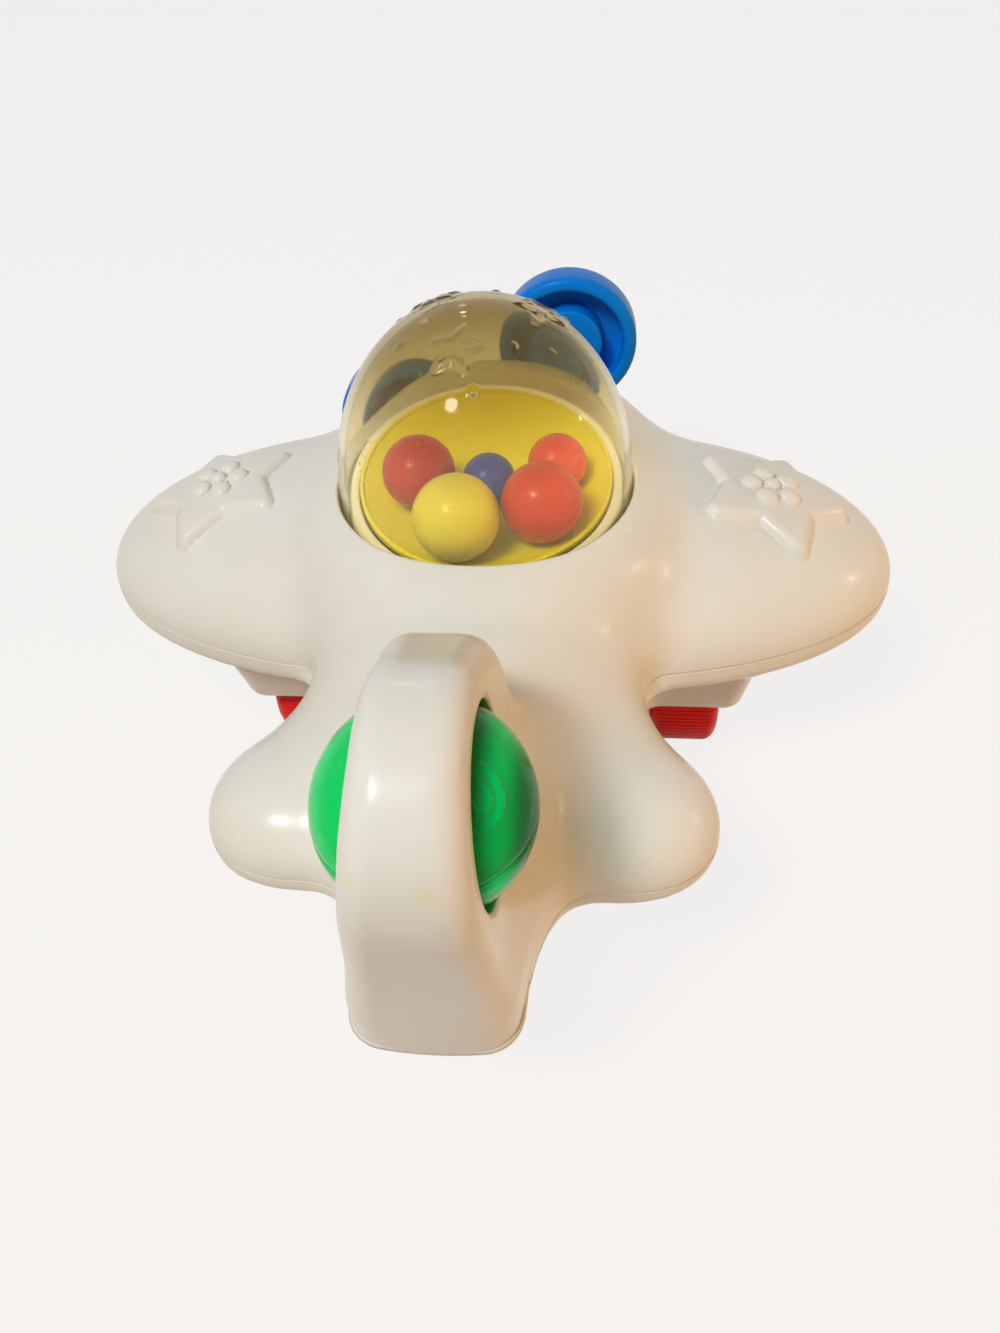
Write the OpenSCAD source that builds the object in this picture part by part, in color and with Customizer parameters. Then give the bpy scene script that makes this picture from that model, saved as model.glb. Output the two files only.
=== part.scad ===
// Popper toy airplane: a push toy whose clear dome holds balls that hop as it rolls.
// +X is the right wing, +Y the nose, +Z up. The toy stands on its three wheels at z = 0,
// and the origin is under the middle of its box. All lengths are millimetres.

/* [Body] */
// Wing tip to wing tip
span = 220; // [210:1:232]
// Widest front to back size of the wing
wing_chord = 100; // [90:1:108]
// Height of the wing's crown over the parting line
wing_rise = 32; // [28:0.5:35]
// Depth of the wing under the parting line
wing_drop = 12; // [9:0.5:15]
// Height of the parting line over the ground
seam_z = 57; // [56:0.5:60]
// Width of the fuselage at the dome
fuselage_w = 88; // [84:1:92]
// Height of the fuselage's back over the parting line
fuselage_rise = 35; // [32:0.5:37]
// How much higher the round nose stands than the fuselage's back
nose_lift = 5.5; // [3:0.5:6]
// Wall of the two moulded shells
wall = 2.4; // [2:0.1:3]
// Width over both tailplane tips
tail_span = 114; // [104:1:124]
// Crown of the tailplane over the parting line
tail_rise = 17; // [14:0.5:20]
// Depth of the tailplane under the parting line
tail_drop = 7; // [5:0.5:9]
// Raise of the wing stars over the wing
star_raise = 1.6; // [1:0.1:2.4]
// Radius of a wing star to its points
star_r = 20.5; // [18:0.5:22]

/* [Fin] */
// Radius of the fin's round top
fin_r = 26.5; // [25.5:0.25:28]
// Thickness of the fin at its top
fin_t = 19; // [17:0.5:21]
// Width of the tail end at the parting line
tail_end_w = 30; // [27:0.5:33]
// Height of the rattle ball's middle over the parting line
tail_ball_rise = 46; // [44:0.5:48]
// Radius of the rattle ball in the fin
tail_ball_r = 19.8; // [18.6:0.1:20.2]
// Gap between the rattle ball and its hole
tail_ball_gap = 1.1; // [0.8:0.1:1.4]

/* [Dome] */
// Outer radius of the clear dome
dome_r = 37.4; // [36.6:0.1:38]
// Wall of the clear dome
dome_wall = 1.6; // [1.2:0.1:2]
// Height of the dome's straight foot over its seat
dome_foot = 1; // [0.5:0.5:4]
// Height of the domed part over the foot
dome_cap = 45; // [40:0.5:48]
// Height of the dome's opening over the parting line
rim_rise = 36; // [35:0.5:38]
// Gap between the dome and its opening
dome_gap = 0.5; // [0.3:0.1:0.8]

/* [Popper] */
// Wall of the white sleeve between the dish and the dome
sleeve_t = 2.2; // [1.8:0.1:2.6]
// Depth of the dish's bowl
dish_depth = 9; // [7:0.5:10]
// Lean of the dish, its front edge up
dish_tilt = 12; // [0:0.5:14]
// How far the dish is thrown up
pop_travel = 5; // [3:0.5:6]
// Radius of the dish's stem
stem_r = 4; // [3.5:0.1:4.5]
// Gap between the stem and its guide
stem_gap = 0.08; // [0.05:0.01:0.1]
// Number of flexible fingers on the axle
finger_count = 3; // [2:1:4]
// Reach of the fingers from the axle's middle
finger_reach = 9.2; // [8.6:0.1:9.4]

/* [Running gear] */
// Radius of the two main wheels
wheel_r = 19; // [18:0.25:20]
// Width of the two main wheels
wheel_w = 20; // [18:0.5:21]
// Distance between the outer faces of the main wheels
track_w = 131; // [129:0.5:133]
// Radius of the tail wheel
tail_wheel_r = 14; // [12:0.25:15]
// Width of the tail wheel
tail_wheel_w = 12; // [10:0.5:13]
// Radius of the two steel axles
axle_r = 2.5; // [2:0.1:3]
// Running gap round an axle or pin
run_gap = 0.06; // [0.03:0.01:0.1]
// Number of tread ribs on a main wheel
tread_ribs = 48; // [36:1:60]

/* [Propeller] */
// Distance of a lobe's middle from the propeller's axis
lobe_offset = 34.5; // [33:0.25:36]
// Radius of each round lobe
lobe_r = 21; // [19:0.25:22]
// Thickness of the propeller
prop_t = 13; // [11:0.5:14]
// Height of the propeller's axis over the parting line
prop_rise = 5; // [4:0.5:8]
// Turn of the propeller as it stands
prop_turn = 33; // [0:1:60]

/* [Hidden] */
$fn = 48;
white = "#dedcd2";

// Stations along the toy, from tail to nose
tail_end_y = -111;
fin_y = -91.5;
tail_tip_y = -56;
dome_y = 27;
wing_y = 39;
nose_y = 100.5;
axle_y = 33;
tail_axle_y = -57;
belly_z = 6.6; // Underside of the belly
half = span / 2;
axle_z = wheel_r;
tail_axle_z = tail_wheel_r;
rim_z = seam_z + rim_rise;
fin_z = seam_z + tail_ball_rise;
prop_z = seam_z + prop_rise;
prop_back_y = nose_y + 2.5;
hole_r = tail_ball_r + tail_ball_gap;
tail_tip_r = 18.5;

// Smooth joining of two forms whose distances are a and b, with a fillet of size k
function blend(a, b, k) = let (h = max(k - abs(a - b), 0) / k) min(a, b) - h * h * k / 4;
// Rough distance from a rounded solid with half sizes s and power n
function lump(p, s, n) = (pow(pow(abs(p.x) / s.x, n) + pow(abs(p.y) / s.y, n) + pow(abs(p.z) / s.z, n), 1 / n) - 1)
    * min(s.x, s.z);
function wing_form(p, up) = let (h = up ? wing_rise : wing_drop)
    (sqrt(pow(abs(p.x) / half, 2.5) + pow((p.y - wing_y) / (wing_chord / 2), 2) + pow(p.z / h, 2)) - 1) * h;
function fuselage_form(p, up) = let (
        dy = p.y - (dome_y + 9),
        h = up ? fuselage_rise + nose_lift * min(1, max(0, dy / 40)) : 22,
        w = fuselage_w / 2,
        g = pow(abs(p.x) / w, 2.4) + pow(p.z / h, 2.4)
            + (dy > 0 ? pow(dy / (nose_y - dome_y - 9), 9) : pow(-dy / 88, 2.4)))
    (pow(g, 1 / 2.4) - 1) * h;
function collar_form(p) = let (
        d = norm([p.x, p.y - dome_y]) - (dome_r - 3),
        up = p.z - (rim_rise - 13))
    norm([max(d, 0), max(up, 0)]) - 12;
function spine_form(p, up) = lump([p.x, p.y + 42, p.z], [22, 62, up ? 29 : 14], 2.3);
function tail_form(p, up) = min([for (i = [0 : 3]) let (
        f = i / 3,
        r = tail_tip_r + (1 - f) * 12,
        h = (up ? tail_rise : tail_drop) * (1 - 0.12 * f),
        dx = abs(p.x) - (tail_span / 2 - tail_tip_r) * (0.35 + 0.65 * f),
        dy = p.y - (tail_tip_y + (1 - f) * 12))
    (sqrt((dx * dx + dy * dy) / (r * r) + pow(p.z / h, 2)) - 1) * h]);
function body_form(p, up) = let (
        a = blend(wing_form(p, up), fuselage_form(p, up), up ? 16 : 8),
        b = blend(spine_form(p, up), tail_form(p, up), up ? 12 : 6),
        c = blend(a, b, up ? 12 : 6))
    up ? blend(c, collar_form(p), 10) : c;

// Reach of the body from its middle line at station y along a ray at angle t, by halving
function reach(y, t, up, inset, lo = 0, hi = 140, n = 15) = n == 0 ? max(lo, 0.4) : let (
        m = (lo + hi) / 2,
        d = body_form([m * cos(t), y, m * sin(t)], up) + inset)
    d < 0 ? reach(y, t, up, inset, m, hi, n - 1) : reach(y, t, up, inset, lo, m, n - 1);

// Depth of the body under the parting line at x, y, by halving
function depth(x, y, lo = 0, hi = 40, n = 12) = n == 0 ? lo : let (m = (lo + hi) / 2)
    body_form([x, y, m], false) < 0 ? depth(x, y, m, hi, n - 1) : depth(x, y, lo, m, n - 1);

// Stations and ray angles, closer together where the form turns quickly
function steps(runs) = concat([for (r = runs, i = [0 : r[2] - 1]) r[0] + (r[1] - r[0]) * i / r[2]],
    [runs[len(runs) - 1][1]]);
function body_stations(fine, inset) = fine
    ? steps([[-102, -78, 2], [-78, -66, 6], [-66, -24, 7], [-24, 0, 5], [0, 86, 11], [86, nose_y - 4, 3],
        [nose_y - 4, nose_y - 0.1, 3]])
    : steps([[-99, -74, 2], [-74, -68, 2], [-68, 0, 6], [0, 86, 6], [86, nose_y - 0.5 - inset, 3]]);
ray_angles = [0, 2, 4.5, 7.5, 11, 15, 20, 26, 33, 41, 50, 60, 70, 80, 90];
under_angles = [0, 3, 7, 13, 22, 34, 50, 70, 90];
inner_angles = [0, 4, 9, 16, 26, 40, 60, 80, 90];

// Half body over or under the parting line: sections across the toy, joined along it
module half_body(up, inset = 0, fine = true) {
    ys = body_stations(fine, inset);
    angles = fine ? (up ? ray_angles : under_angles) : inner_angles;
    n = len(angles) - 1;
    half_rows = [for (y = ys) [for (t = angles) let (r = reach(y, t, up, inset)) [r * cos(t), r * sin(t)]]];
    rows = [for (h = half_rows) concat(h, [for (i = [n - 1 : -1 : 0]) [-h[i].x, h[i].y]])];
    m = len(rows[0]);
    points = [for (i = [0 : len(ys) - 1], q = rows[i]) [q.x, ys[i], up ? q.y : -q.y]];
    last = (len(ys) - 1) * m;
    skin = [for (i = [0 : len(ys) - 2], j = [0 : m - 1]) let (a = i * m + j, b = i * m + (j + 1) % m)
        each [[a, b, b + m], [a, b + m, a + m]]];
    ends = concat([for (j = [1 : m - 2]) [0, j + 1, j]], [for (j = [1 : m - 2]) [last, last + j, last + j + 1]]);
    faces = concat(skin, ends);
    translate([0, 0, seam_z]) polyhedron(points, up ? faces : [for (f = faces) [f[2], f[1], f[0]]]);
}

// Disc lying across the toy, with a rounded edge
module coin(r, t, edge, sides) {
    hull() for (s = [-1, 1]) translate([s * (t / 2 - edge), 0, 0]) rotate([0, 90, 0])
        rotate_extrude($fn = sides) translate([r - edge, 0]) circle(edge, $fn = sides > 30 ? 12 : 8);
}

// The fin, with its broad tail end standing on the parting line
module fin_form(inset) {
    sides = inset > 0 ? 20 : 36;
    foot = seam_z - (inset > 0 ? 0.5 : 0);
    hull() {
        translate([0, fin_y, fin_z]) coin(fin_r - inset, fin_t - 2 * inset, 6, sides);
        translate([0, fin_y + 13, fin_z - 5]) coin(fin_r - 1.5 - inset, fin_t + 1 - 2 * inset, 6, sides);
        for (s = [-1, 1]) {
            translate([s * (tail_end_w / 2 - 5), tail_end_y + 5, foot]) cylinder(r = 5 - inset, h = 10, $fn = 16);
            translate([s * (tail_end_w / 2 - 5), fin_y + 42, foot]) cylinder(r = 7 - inset, h = 14, $fn = 16);
        }
    }
}

// Where a wing star stands
star_x = 74.5;
star_y = wing_y - 2.5;
function wing_top(x, y) = wing_rise * sqrt(max(0, 1 - pow(abs(x) / half, 2.5) - pow((y - wing_y) / (wing_chord / 2), 2)));

// Raised star on each wing, following the wing's crown
module wing_star(side) {
    intersection() {
        half_body(true, -star_raise);
        translate([side * star_x, star_y, 0]) mirror([side < 0 ? 1 : 0, 0, 0]) linear_extrude(seam_z + 60)
            offset(r = 2.2, $fn = 16) offset(delta = -2.2)
            polygon([for (i = [0 : 9]) let (r = i % 2 == 0 ? star_r : star_r * 0.56, t = 36 * i)
                [r * cos(t), r * sin(t)]]);
    }
    for (i = [0 : 4]) let (x = side * (star_x + 5 * cos(72 * i)), y = star_y + 5 * sin(72 * i))
        translate([x, y, seam_z + wing_top(x, y) + star_raise]) hull() {
            sphere(2.1, $fn = 8);
            translate([side * 0.8 * cos(72 * i), 0.8 * sin(72 * i), 0]) sphere(1.8, $fn = 8);
        }
}

// Places of the shell screws: nose, wings and tail
screw_places = [[24, 82], [-24, 82], [70, 62], [-70, 62], [94, 34], [-94, 34], [0, -100]];
screw_r = 1.5;
screw_head_r = 2.8;
screw_head_t = 2.2;
screw_clear = 0.3;
thread_clear = 0.1;
boss_r = 4;
boss_lap = 2; // Height of the posts over the parting line, where the bosses start
thread_l = 8; // Length of screw inside a boss
head_depth = 3; // Depth of a screw head's recess

module upper_shell() {
    color(white) difference() {
        union() {
            difference() {
                union() {
                    half_body(true);
                    fin_form(0);
                    for (side = [-1, 1]) wing_star(side);
                }
                translate([0, 0, -0.02]) half_body(true, wall, false);
                difference() {
                    fin_form(wall);
                    translate([0, fin_y, fin_z]) rotate([0, 90, 0])
                        cylinder(r = hole_r + sleeve_wall, h = 60, center = true);
                }
            }
            intersection() {
                union() {
                    half_body(true, 1, false);
                    fin_form(1);
                }
                for (q = screw_places) translate([q.x, q.y, seam_z + boss_lap]) cylinder(r = boss_r, h = 40, $fn = 16);
            }
            intersection() {
                half_body(true, 1, false);
                translate([0, dome_y, ledge_z]) cylinder(r = dome_r + 14, h = 40);
            }
        }
        translate([0, fin_y, fin_z]) rotate([0, 90, 0]) cylinder(r = hole_r, h = 80, center = true);
        translate([0, dome_y, seam_z - 1]) cylinder(r = dome_r + dome_gap, h = 60, $fn = 96);
        for (i = [0 : 3]) at_dome_screw(i) cylinder(r = dome_screw_r + dome_screw_clear, h = 8, center = true, $fn = 16);
        for (q = screw_places) translate([q.x, q.y, seam_z]) cylinder(r = screw_r + thread_clear, h = boss_lap + thread_l + 0.5, $fn = 16);
        translate([0, nose_y - 12, prop_z]) rotate([-90, 0, 0]) cylinder(r = bush_r + 0.05, h = 20);
        for (s = [-1, 1]) translate([0, fin_y, fin_z + s * (hole_r - 1)]) rotate([s > 0 ? 0 : 180, 0, 0])
            cylinder(r = pin_r + 0.05, h = pin_seat + 1, $fn = 24);
    }
}

// Clear dome, held down by a ring under the shell's rim
flange_t = 2;
flange_r = dome_r + 5.4;
dome_in_r = dome_r - dome_wall;
ledge_z = rim_z - 11;
seat_gap = 0.05;
flange_z = ledge_z - flange_t - seat_gap;
ring_t = 3;
sleeve_top = rim_z - 3.5; // Top of the ring's white sleeve inside the dome
ring_clear = 0.3; // Gap between the ring's sleeve and the dome
dish_gap = 0.8; // Gap between the dish and the sleeve
dish_r = dome_in_r - ring_clear - sleeve_t - dish_gap;
dome_screw_r = 1.2;
dome_screw_clear = 0.15;
dome_screw_l = 8;
// Places on the dome's four screws, at the underside of the ledge
module at_dome_screw(i) {
    translate([0, dome_y, ledge_z]) rotate(45 + 90 * i) translate([(dome_r + flange_r) / 2, 0, 0]) children();
}

// Points of the dome's side, from the foot to the crown, at a given inset
dome_spring = rim_z + dome_foot - flange_z;
function dome_side(inset) = concat([[dome_r - inset, 0]],
    [for (i = [0 : 17]) let (t = i * 5) [(dome_r - inset) * pow(cos(t), 0.96), dome_spring + (dome_cap - inset) * sin(t)]],
    [[0, dome_spring + dome_cap - inset]]);
function back(points) = [for (i = [len(points) - 1 : -1 : 0]) points[i]];

module dome() {
    color("#b9ad6a", 0.45) difference() {
        translate([0, dome_y, flange_z]) rotate_extrude($fn = 96) union() {
            polygon(concat(dome_side(0), back(dome_side(dome_wall))));
            translate([dome_in_r, 0]) square([flange_r - dome_in_r, flange_t]);
        }
        for (i = [0 : 3]) at_dome_screw(i) cylinder(r = dome_screw_r + dome_screw_clear, h = 8, center = true, $fn = 24);
    }
}
module dome_ring() {
    color(white) difference() {
        translate([0, dome_y, flange_z - ring_t]) difference() {
            union() {
                cylinder(r = flange_r, h = ring_t, $fn = 96);
                cylinder(r = dome_in_r - ring_clear, h = sleeve_top - flange_z + ring_t, $fn = 96);
            }
            translate([0, 0, -1]) cylinder(r = dish_r + dish_gap, h = rim_rise + 2, $fn = 96);
        }
        for (i = [0 : 3]) at_dome_screw(i) cylinder(r = dome_screw_r + dome_screw_clear, h = 16, center = true, $fn = 24);
    }
}
module dome_screws() {
    color("silver") for (i = [0 : 3]) at_dome_screw(i) translate([0, 0, flange_z - ring_t - ledge_z]) {
        translate([0, 0, -1.6]) cylinder(r = 2.3, h = 1.6, $fn = 24);
        cylinder(r = dome_screw_r, h = dome_screw_l, $fn = 24);
    }
}

// Popping dish, its stem, spring and guide
dish_z = rim_z + 1; // Middle of the dish's rim
dish_t = 1.8;
gate_r = 1.5; // Moulding gate's shallow mark in the middle of the dish
hub_z = dish_z - dish_depth;
hub_l = 9;
bowl_r = (dish_r * dish_r + dish_depth * dish_depth) / (2 * dish_depth);
bowl_y = dome_y - (bowl_r - dish_depth) * sin(dish_tilt);
bowl_z = dish_z + (bowl_r - dish_depth) * cos(dish_tilt);
foot_z = axle_z + finger_reach - 1.2;
foot_t = 2;
foot_r = 7.5;
guide_z = foot_z + foot_t + 11;
guide_h = 20;
module at_dish() {
    translate([0, dome_y, dish_z]) rotate([dish_tilt, 0, 0]) children();
}
module popper_dish() {
    color("#e6c81e") difference() {
        union() {
            at_dish() intersection() {
                translate([0, 0, bowl_r - dish_depth]) sphere(bowl_r + dish_t, $fn = 96);
                translate([0, 0, -dish_depth - dish_t - 1]) cylinder(r = dish_r, h = dish_depth + dish_t + 1, $fn = 96);
            }
            translate([0, dome_y, hub_z - hub_l]) cylinder(r = stem_r + 2.4, h = hub_l);
        }
        at_dish() {
            translate([0, 0, bowl_r - dish_depth]) sphere(bowl_r, $fn = 96);
            translate([0, 0, -dish_depth - 0.3]) cylinder(r = gate_r, h = 2);
        }
        translate([0, dome_y, hub_z - hub_l - 1]) cylinder(r = stem_r - 1 + 0.02, h = hub_l - 1);
    }
}
module popper_stem() {
    color("#e6c81e") translate([0, dome_y, 0]) {
        translate([0, 0, foot_z]) cylinder(r = foot_r, h = foot_t);
        translate([0, 0, foot_z]) cylinder(r = stem_r, h = hub_z - hub_l - foot_z);
        translate([0, 0, hub_z - hub_l - 0.5]) cylinder(r = stem_r - 1, h = 7);
    }
}
spring_turns = 5;
spring_wire_r = 0.45;
spring_r = stem_r + 1.3;
module return_spring() {
    a = foot_z + foot_t + spring_wire_r + 0.1;
    b = guide_z - spring_wire_r - 0.1;
    n = spring_turns * 12;
    rings = [for (i = [0 : n]) let (t = 360 * spring_turns * i / n, z = a + (b - a) * i / n) [for (j = [0 : 5])
        let (r = spring_r + spring_wire_r * cos(60 * j)) [r * cos(t), r * sin(t), z + spring_wire_r * sin(60 * j)]]];
    points = [for (ring = rings, q = ring) q];
    sides = [for (i = [0 : n - 1], j = [0 : 5]) let (p = i * 6 + j, q = i * 6 + (j + 1) % 6)
        each [[p, q + 6, q], [p, p + 6, q + 6]]];
    ends = concat([for (j = [1 : 4]) [0, j, j + 1]], [for (j = [1 : 4]) [n * 6, n * 6 + j + 1, n * 6 + j]]);
    color("silver") translate([0, dome_y, 0]) polyhedron(points, [for (f = concat(sides, ends)) [f[2], f[1], f[0]]]);
}
leg_x = 24;
leg_y = 15;
leg_r = 4;
leg_foot_z = belly_z + wall + 0.25;
guide_screw_r = 1.3;
guide_head_t = 1.5;
guide_head_r = 2.6;
guide_screw_l = 9;
module stem_guide() {
    color("#c9c7be") translate([0, dome_y, 0]) difference() {
        union() {
            translate([0, 0, guide_z]) cylinder(r = stem_r + 3, h = guide_h);
            translate([0, 0, guide_z]) linear_extrude(3) hull() for (x = [-1, 1], y = [-1, 1])
                translate([x * leg_x, y * leg_y]) circle(leg_r + 1.5, $fn = 24);
            for (x = [-1, 1], y = [-1, 1]) translate([x * leg_x, y * leg_y, leg_foot_z])
                cylinder(r = leg_r, h = guide_z + 1.5 - leg_foot_z);
        }
        translate([0, 0, guide_z - 1]) cylinder(r = stem_r + stem_gap, h = guide_h + 2);
        for (x = [-1, 1], y = [-1, 1]) translate([x * leg_x, y * leg_y, leg_foot_z - 1])
            cylinder(r = guide_screw_r + thread_clear, h = 12, $fn = 24);
    }
}
module guide_screws() {
    color("silver") translate([0, dome_y, 0]) for (x = [-1, 1], y = [-1, 1])
        translate([x * leg_x, y * leg_y, belly_z + 0.95]) {
            translate([0, 0, -guide_head_t]) cylinder(r = guide_head_r, h = guide_head_t, $fn = 24);
            cylinder(r = guide_screw_r, h = guide_screw_l, $fn = 24);
        }
}

// Lower shell: pan, belly, wheel arches and tail fairing
wheel_in_x = track_w / 2 - wheel_w;
well_gap = 1.6;
arch_in_x = wheel_in_x - well_gap;
arch_out_x = track_w / 2 + well_gap;
arch_z = 25.5;
module rounded_post(q, foot, top) {
    translate([q.x, q.y, foot]) hull() {
        translate([0, 0, 2]) cylinder(r = boss_r, h = top - foot - 2, $fn = 16);
        cylinder(r = boss_r - 0.6, h = 1, $fn = 16);
    }
}
module belly(inset) {
    r = 12; // Rounding of the belly's corners
    w = arch_in_x - r;
    hull() for (s = [-1, 1]) {
        for (y = [dome_y - 18, dome_y + 24]) translate([s * w, y, belly_z + r]) sphere(r - inset, $fn = 16);
        for (y = [dome_y - 22, dome_y + 36]) translate([s * w, y, seam_z - 8]) cylinder(r = r - inset, h = 5, $fn = 24);
        translate([s * 5, dome_y - 84, seam_z - 12]) sphere(8 - inset, $fn = 16);
    }
}
module wheel_arch(side) {
    hull() {
        for (y = [-1, 1], x = [arch_in_x + 2, arch_out_x + wall - 6])
            translate([side * x, axle_y + y * (wheel_r + well_gap + wall - 6), arch_z]) {
                cylinder(r = 4, h = 2, $fn = 20);
                translate([0, 0, 2]) cylinder(r = 6, h = 2, $fn = 20);
            }
        for (y = [-1, 1], x = [arch_in_x + 2, arch_out_x + 6])
            translate([side * x, axle_y + y * (wheel_r + 4), seam_z - 9]) cylinder(r = 7, h = 3, $fn = 20);
    }
}
module wheel_well(side) {
    translate([side * (arch_in_x + arch_out_x) / 2, axle_y, axle_z]) rotate([0, 90, 0])
        cylinder(r = wheel_r + well_gap, h = arch_out_x - arch_in_x, center = true);
}
module tail_fairing() {
    w = tail_wheel_w / 2 + tail_well_gap + tail_cheek;
    hull() for (y = [-1, 1]) {
        translate([0, tail_axle_y + y * (tail_wheel_r - 4), tail_axle_z + 2]) cylinder(r = w, h = 2, $fn = 24);
        translate([0, tail_axle_y + y * (tail_wheel_r - 4), tail_axle_z - 3]) cylinder(r = w - 4, h = 2, $fn = 24);
        translate([0, tail_axle_y + y * (tail_wheel_r + 2), seam_z - 9]) cylinder(r = w + 1, h = 3, $fn = 24);
    }
}
module lower_shell() {
    color(white) difference() {
        union() {
            difference() {
                union() {
                    half_body(false);
                    belly(0);
                    hull() for (s = [-1, 1]) {
                        translate([s * (tail_end_w / 2 - 5), tail_end_y + 5, seam_z - 2]) cylinder(r = 5, h = 2, $fn = 24);
                        translate([s * (tail_end_w / 2 - 6), tail_end_y + 9, seam_z - 6]) cylinder(r = 4, h = 5, $fn = 24);
                        translate([s * 10, tail_end_y + 40, seam_z - 7]) cylinder(r = 7, h = 7, $fn = 24);
                    }
                }
                translate([0, 0, 0.02]) half_body(false, wall, false);
                belly(wall);
                translate([0, dome_y + 6, seam_z - 9]) linear_extrude(12) square([2 * arch_in_x - 12, 62], center = true);
            }
            tail_fairing();
            for (side = [-1, 1]) wheel_arch(side);
            for (q = screw_places) rounded_post(q, boss_foot(q), seam_z + boss_lap);
        }
        for (side = [-1, 1]) {
            wheel_well(side);
            translate([side * (arch_in_x + arch_out_x) / 2, axle_y, axle_z / 2 - 2]) cube(
                [arch_out_x - arch_in_x, 2 * (wheel_r + well_gap), axle_z + 4], center = true);
        }
        translate([0, tail_axle_y, tail_axle_z]) rotate([0, 90, 0])
            cylinder(r = tail_wheel_r + 1.2, h = tail_wheel_w + 2 * tail_well_gap, center = true);
        translate([0, tail_axle_y, 0]) cube(
            [tail_wheel_w + 2 * tail_well_gap, 2 * tail_wheel_r + 2.4, 2 * tail_axle_z], center = true);
        translate([0, axle_y, axle_z]) rotate([0, 90, 0]) {
            cylinder(r = bush_hole_r + 0.05, h = 2 * arch_in_x + 4, center = true);
            cylinder(r = bush_flange_r + 0.3, h = 2 * (arch_in_x - wall), center = true);
        }
        translate([0, tail_axle_y, tail_axle_z]) rotate([0, 90, 0])
            cylinder(r = axle_r + 0.1, h = tail_axle_l + 0.2, center = true, $fn = 24);
        for (q = screw_places) translate([q.x, q.y, boss_foot(q) - 1]) {
            cylinder(r = screw_r + screw_clear, h = 60, $fn = 16);
            cylinder(r = screw_head_r + screw_clear, h = head_depth + 1, $fn = 16);
        }
        for (x = [-1, 1], y = [-1, 1]) translate([x * leg_x, dome_y + y * leg_y, belly_z - 1]) {
            cylinder(r = guide_screw_r + screw_clear, h = 6, $fn = 16);
            cylinder(r = guide_head_r + screw_clear, h = 2, $fn = 16);
        }
    }
}
// Underside of a screw post, level with the pan around it
function boss_foot(q) = seam_z - max(5, depth(q.x, q.y));

// Main axle, wheels and the flexible flicker between them
bush_r = 4.5; // Outside of the propeller's bush
bush_hole_r = 4.5;
bush_flange_r = 5.9;
bush_flange_t = 2;
module tread_outline(r, ribs) {
    polygon([for (i = [0 : ribs - 1], k = [0 : 3]) let (
            t = 360 / ribs * (i + [0, 0.35, 0.5, 0.85][k]),
            q = k < 2 ? r : r - 0.5)
        [q * cos(t), q * sin(t)]]);
}
module wheel(side) {
    translate([side * (track_w / 2 - wheel_w / 2), axle_y, axle_z]) rotate([0, 90 * side, 0]) difference() {
        intersection() {
            translate([0, 0, -wheel_w / 2]) linear_extrude(wheel_w) tread_outline(wheel_r, tread_ribs);
            rotate_extrude($fn = 96) hull() {
                translate([0, -wheel_w / 2]) square([wheel_r - 4, wheel_w]);
                for (s = [-1, 1]) translate([wheel_r - 4, s * (wheel_w / 2 - 4)]) circle(4, $fn = 32);
            }
        }
        translate([0, 0, wheel_w / 2 - 4]) difference() {
            cylinder(r = wheel_r - 5, h = 5);
            translate([0, 0, -1]) cylinder(r = 6, h = 6);
        }
        translate([0, 0, -wheel_w / 2 - 1]) cylinder(r = axle_r + 0.01, h = wheel_w + 2);
    }
}
module wheel_left() { color("#c8281a") wheel(-1); }
module wheel_right() { color("#c8281a") wheel(1); }
module main_axle() {
    color("silver") translate([0, axle_y, axle_z]) rotate([0, 90, 0])
        cylinder(r = axle_r, h = track_w + 4, center = true);
}
module axle_caps() {
    color("silver") for (s = [-1, 1]) translate([s * (track_w / 2 + 0.2), axle_y, axle_z]) rotate([0, 90 * s, 0])
        difference() {
            cylinder(r = 4.2, h = 1.2);
            translate([0, 0, -1]) cylinder(r = axle_r + 0.01, h = 3);
        }
}
module axle_bushes() {
    color("#c9c7be") for (s = [-1, 1]) translate([s * (arch_in_x - wall - seat_gap), axle_y, axle_z])
        rotate([0, 90 * s, 0]) difference() {
            union() {
                cylinder(r = bush_hole_r - 0.05, h = wall + 0.5);
                translate([0, 0, -bush_flange_t]) cylinder(r = bush_flange_r, h = bush_flange_t);
            }
            translate([0, 0, -bush_flange_t - 1]) cylinder(r = axle_r + run_gap, h = wall + bush_flange_t + 3);
        }
}
hub_r = 4.2;
finger_w = 12;
module flicker_hub() {
    color("#c8281a") translate([-finger_w / 2 - 1, axle_y, axle_z]) rotate([0, 90, 0]) difference() {
        cylinder(r = hub_r, h = finger_w + 2);
        translate([0, 0, -1]) cylinder(r = axle_r + 0.01, h = finger_w + 4);
    }
}
module flicker_fingers() {
    color("#5a5a58") translate([-finger_w / 2, axle_y, axle_z]) rotate([0, 90, 0])
        for (i = [0 : finger_count - 1]) rotate(360 / finger_count * i) translate([hub_r + 0.02, -0.8, 0])
            cube([finger_reach - hub_r, 1.6, finger_w]);
}

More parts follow.
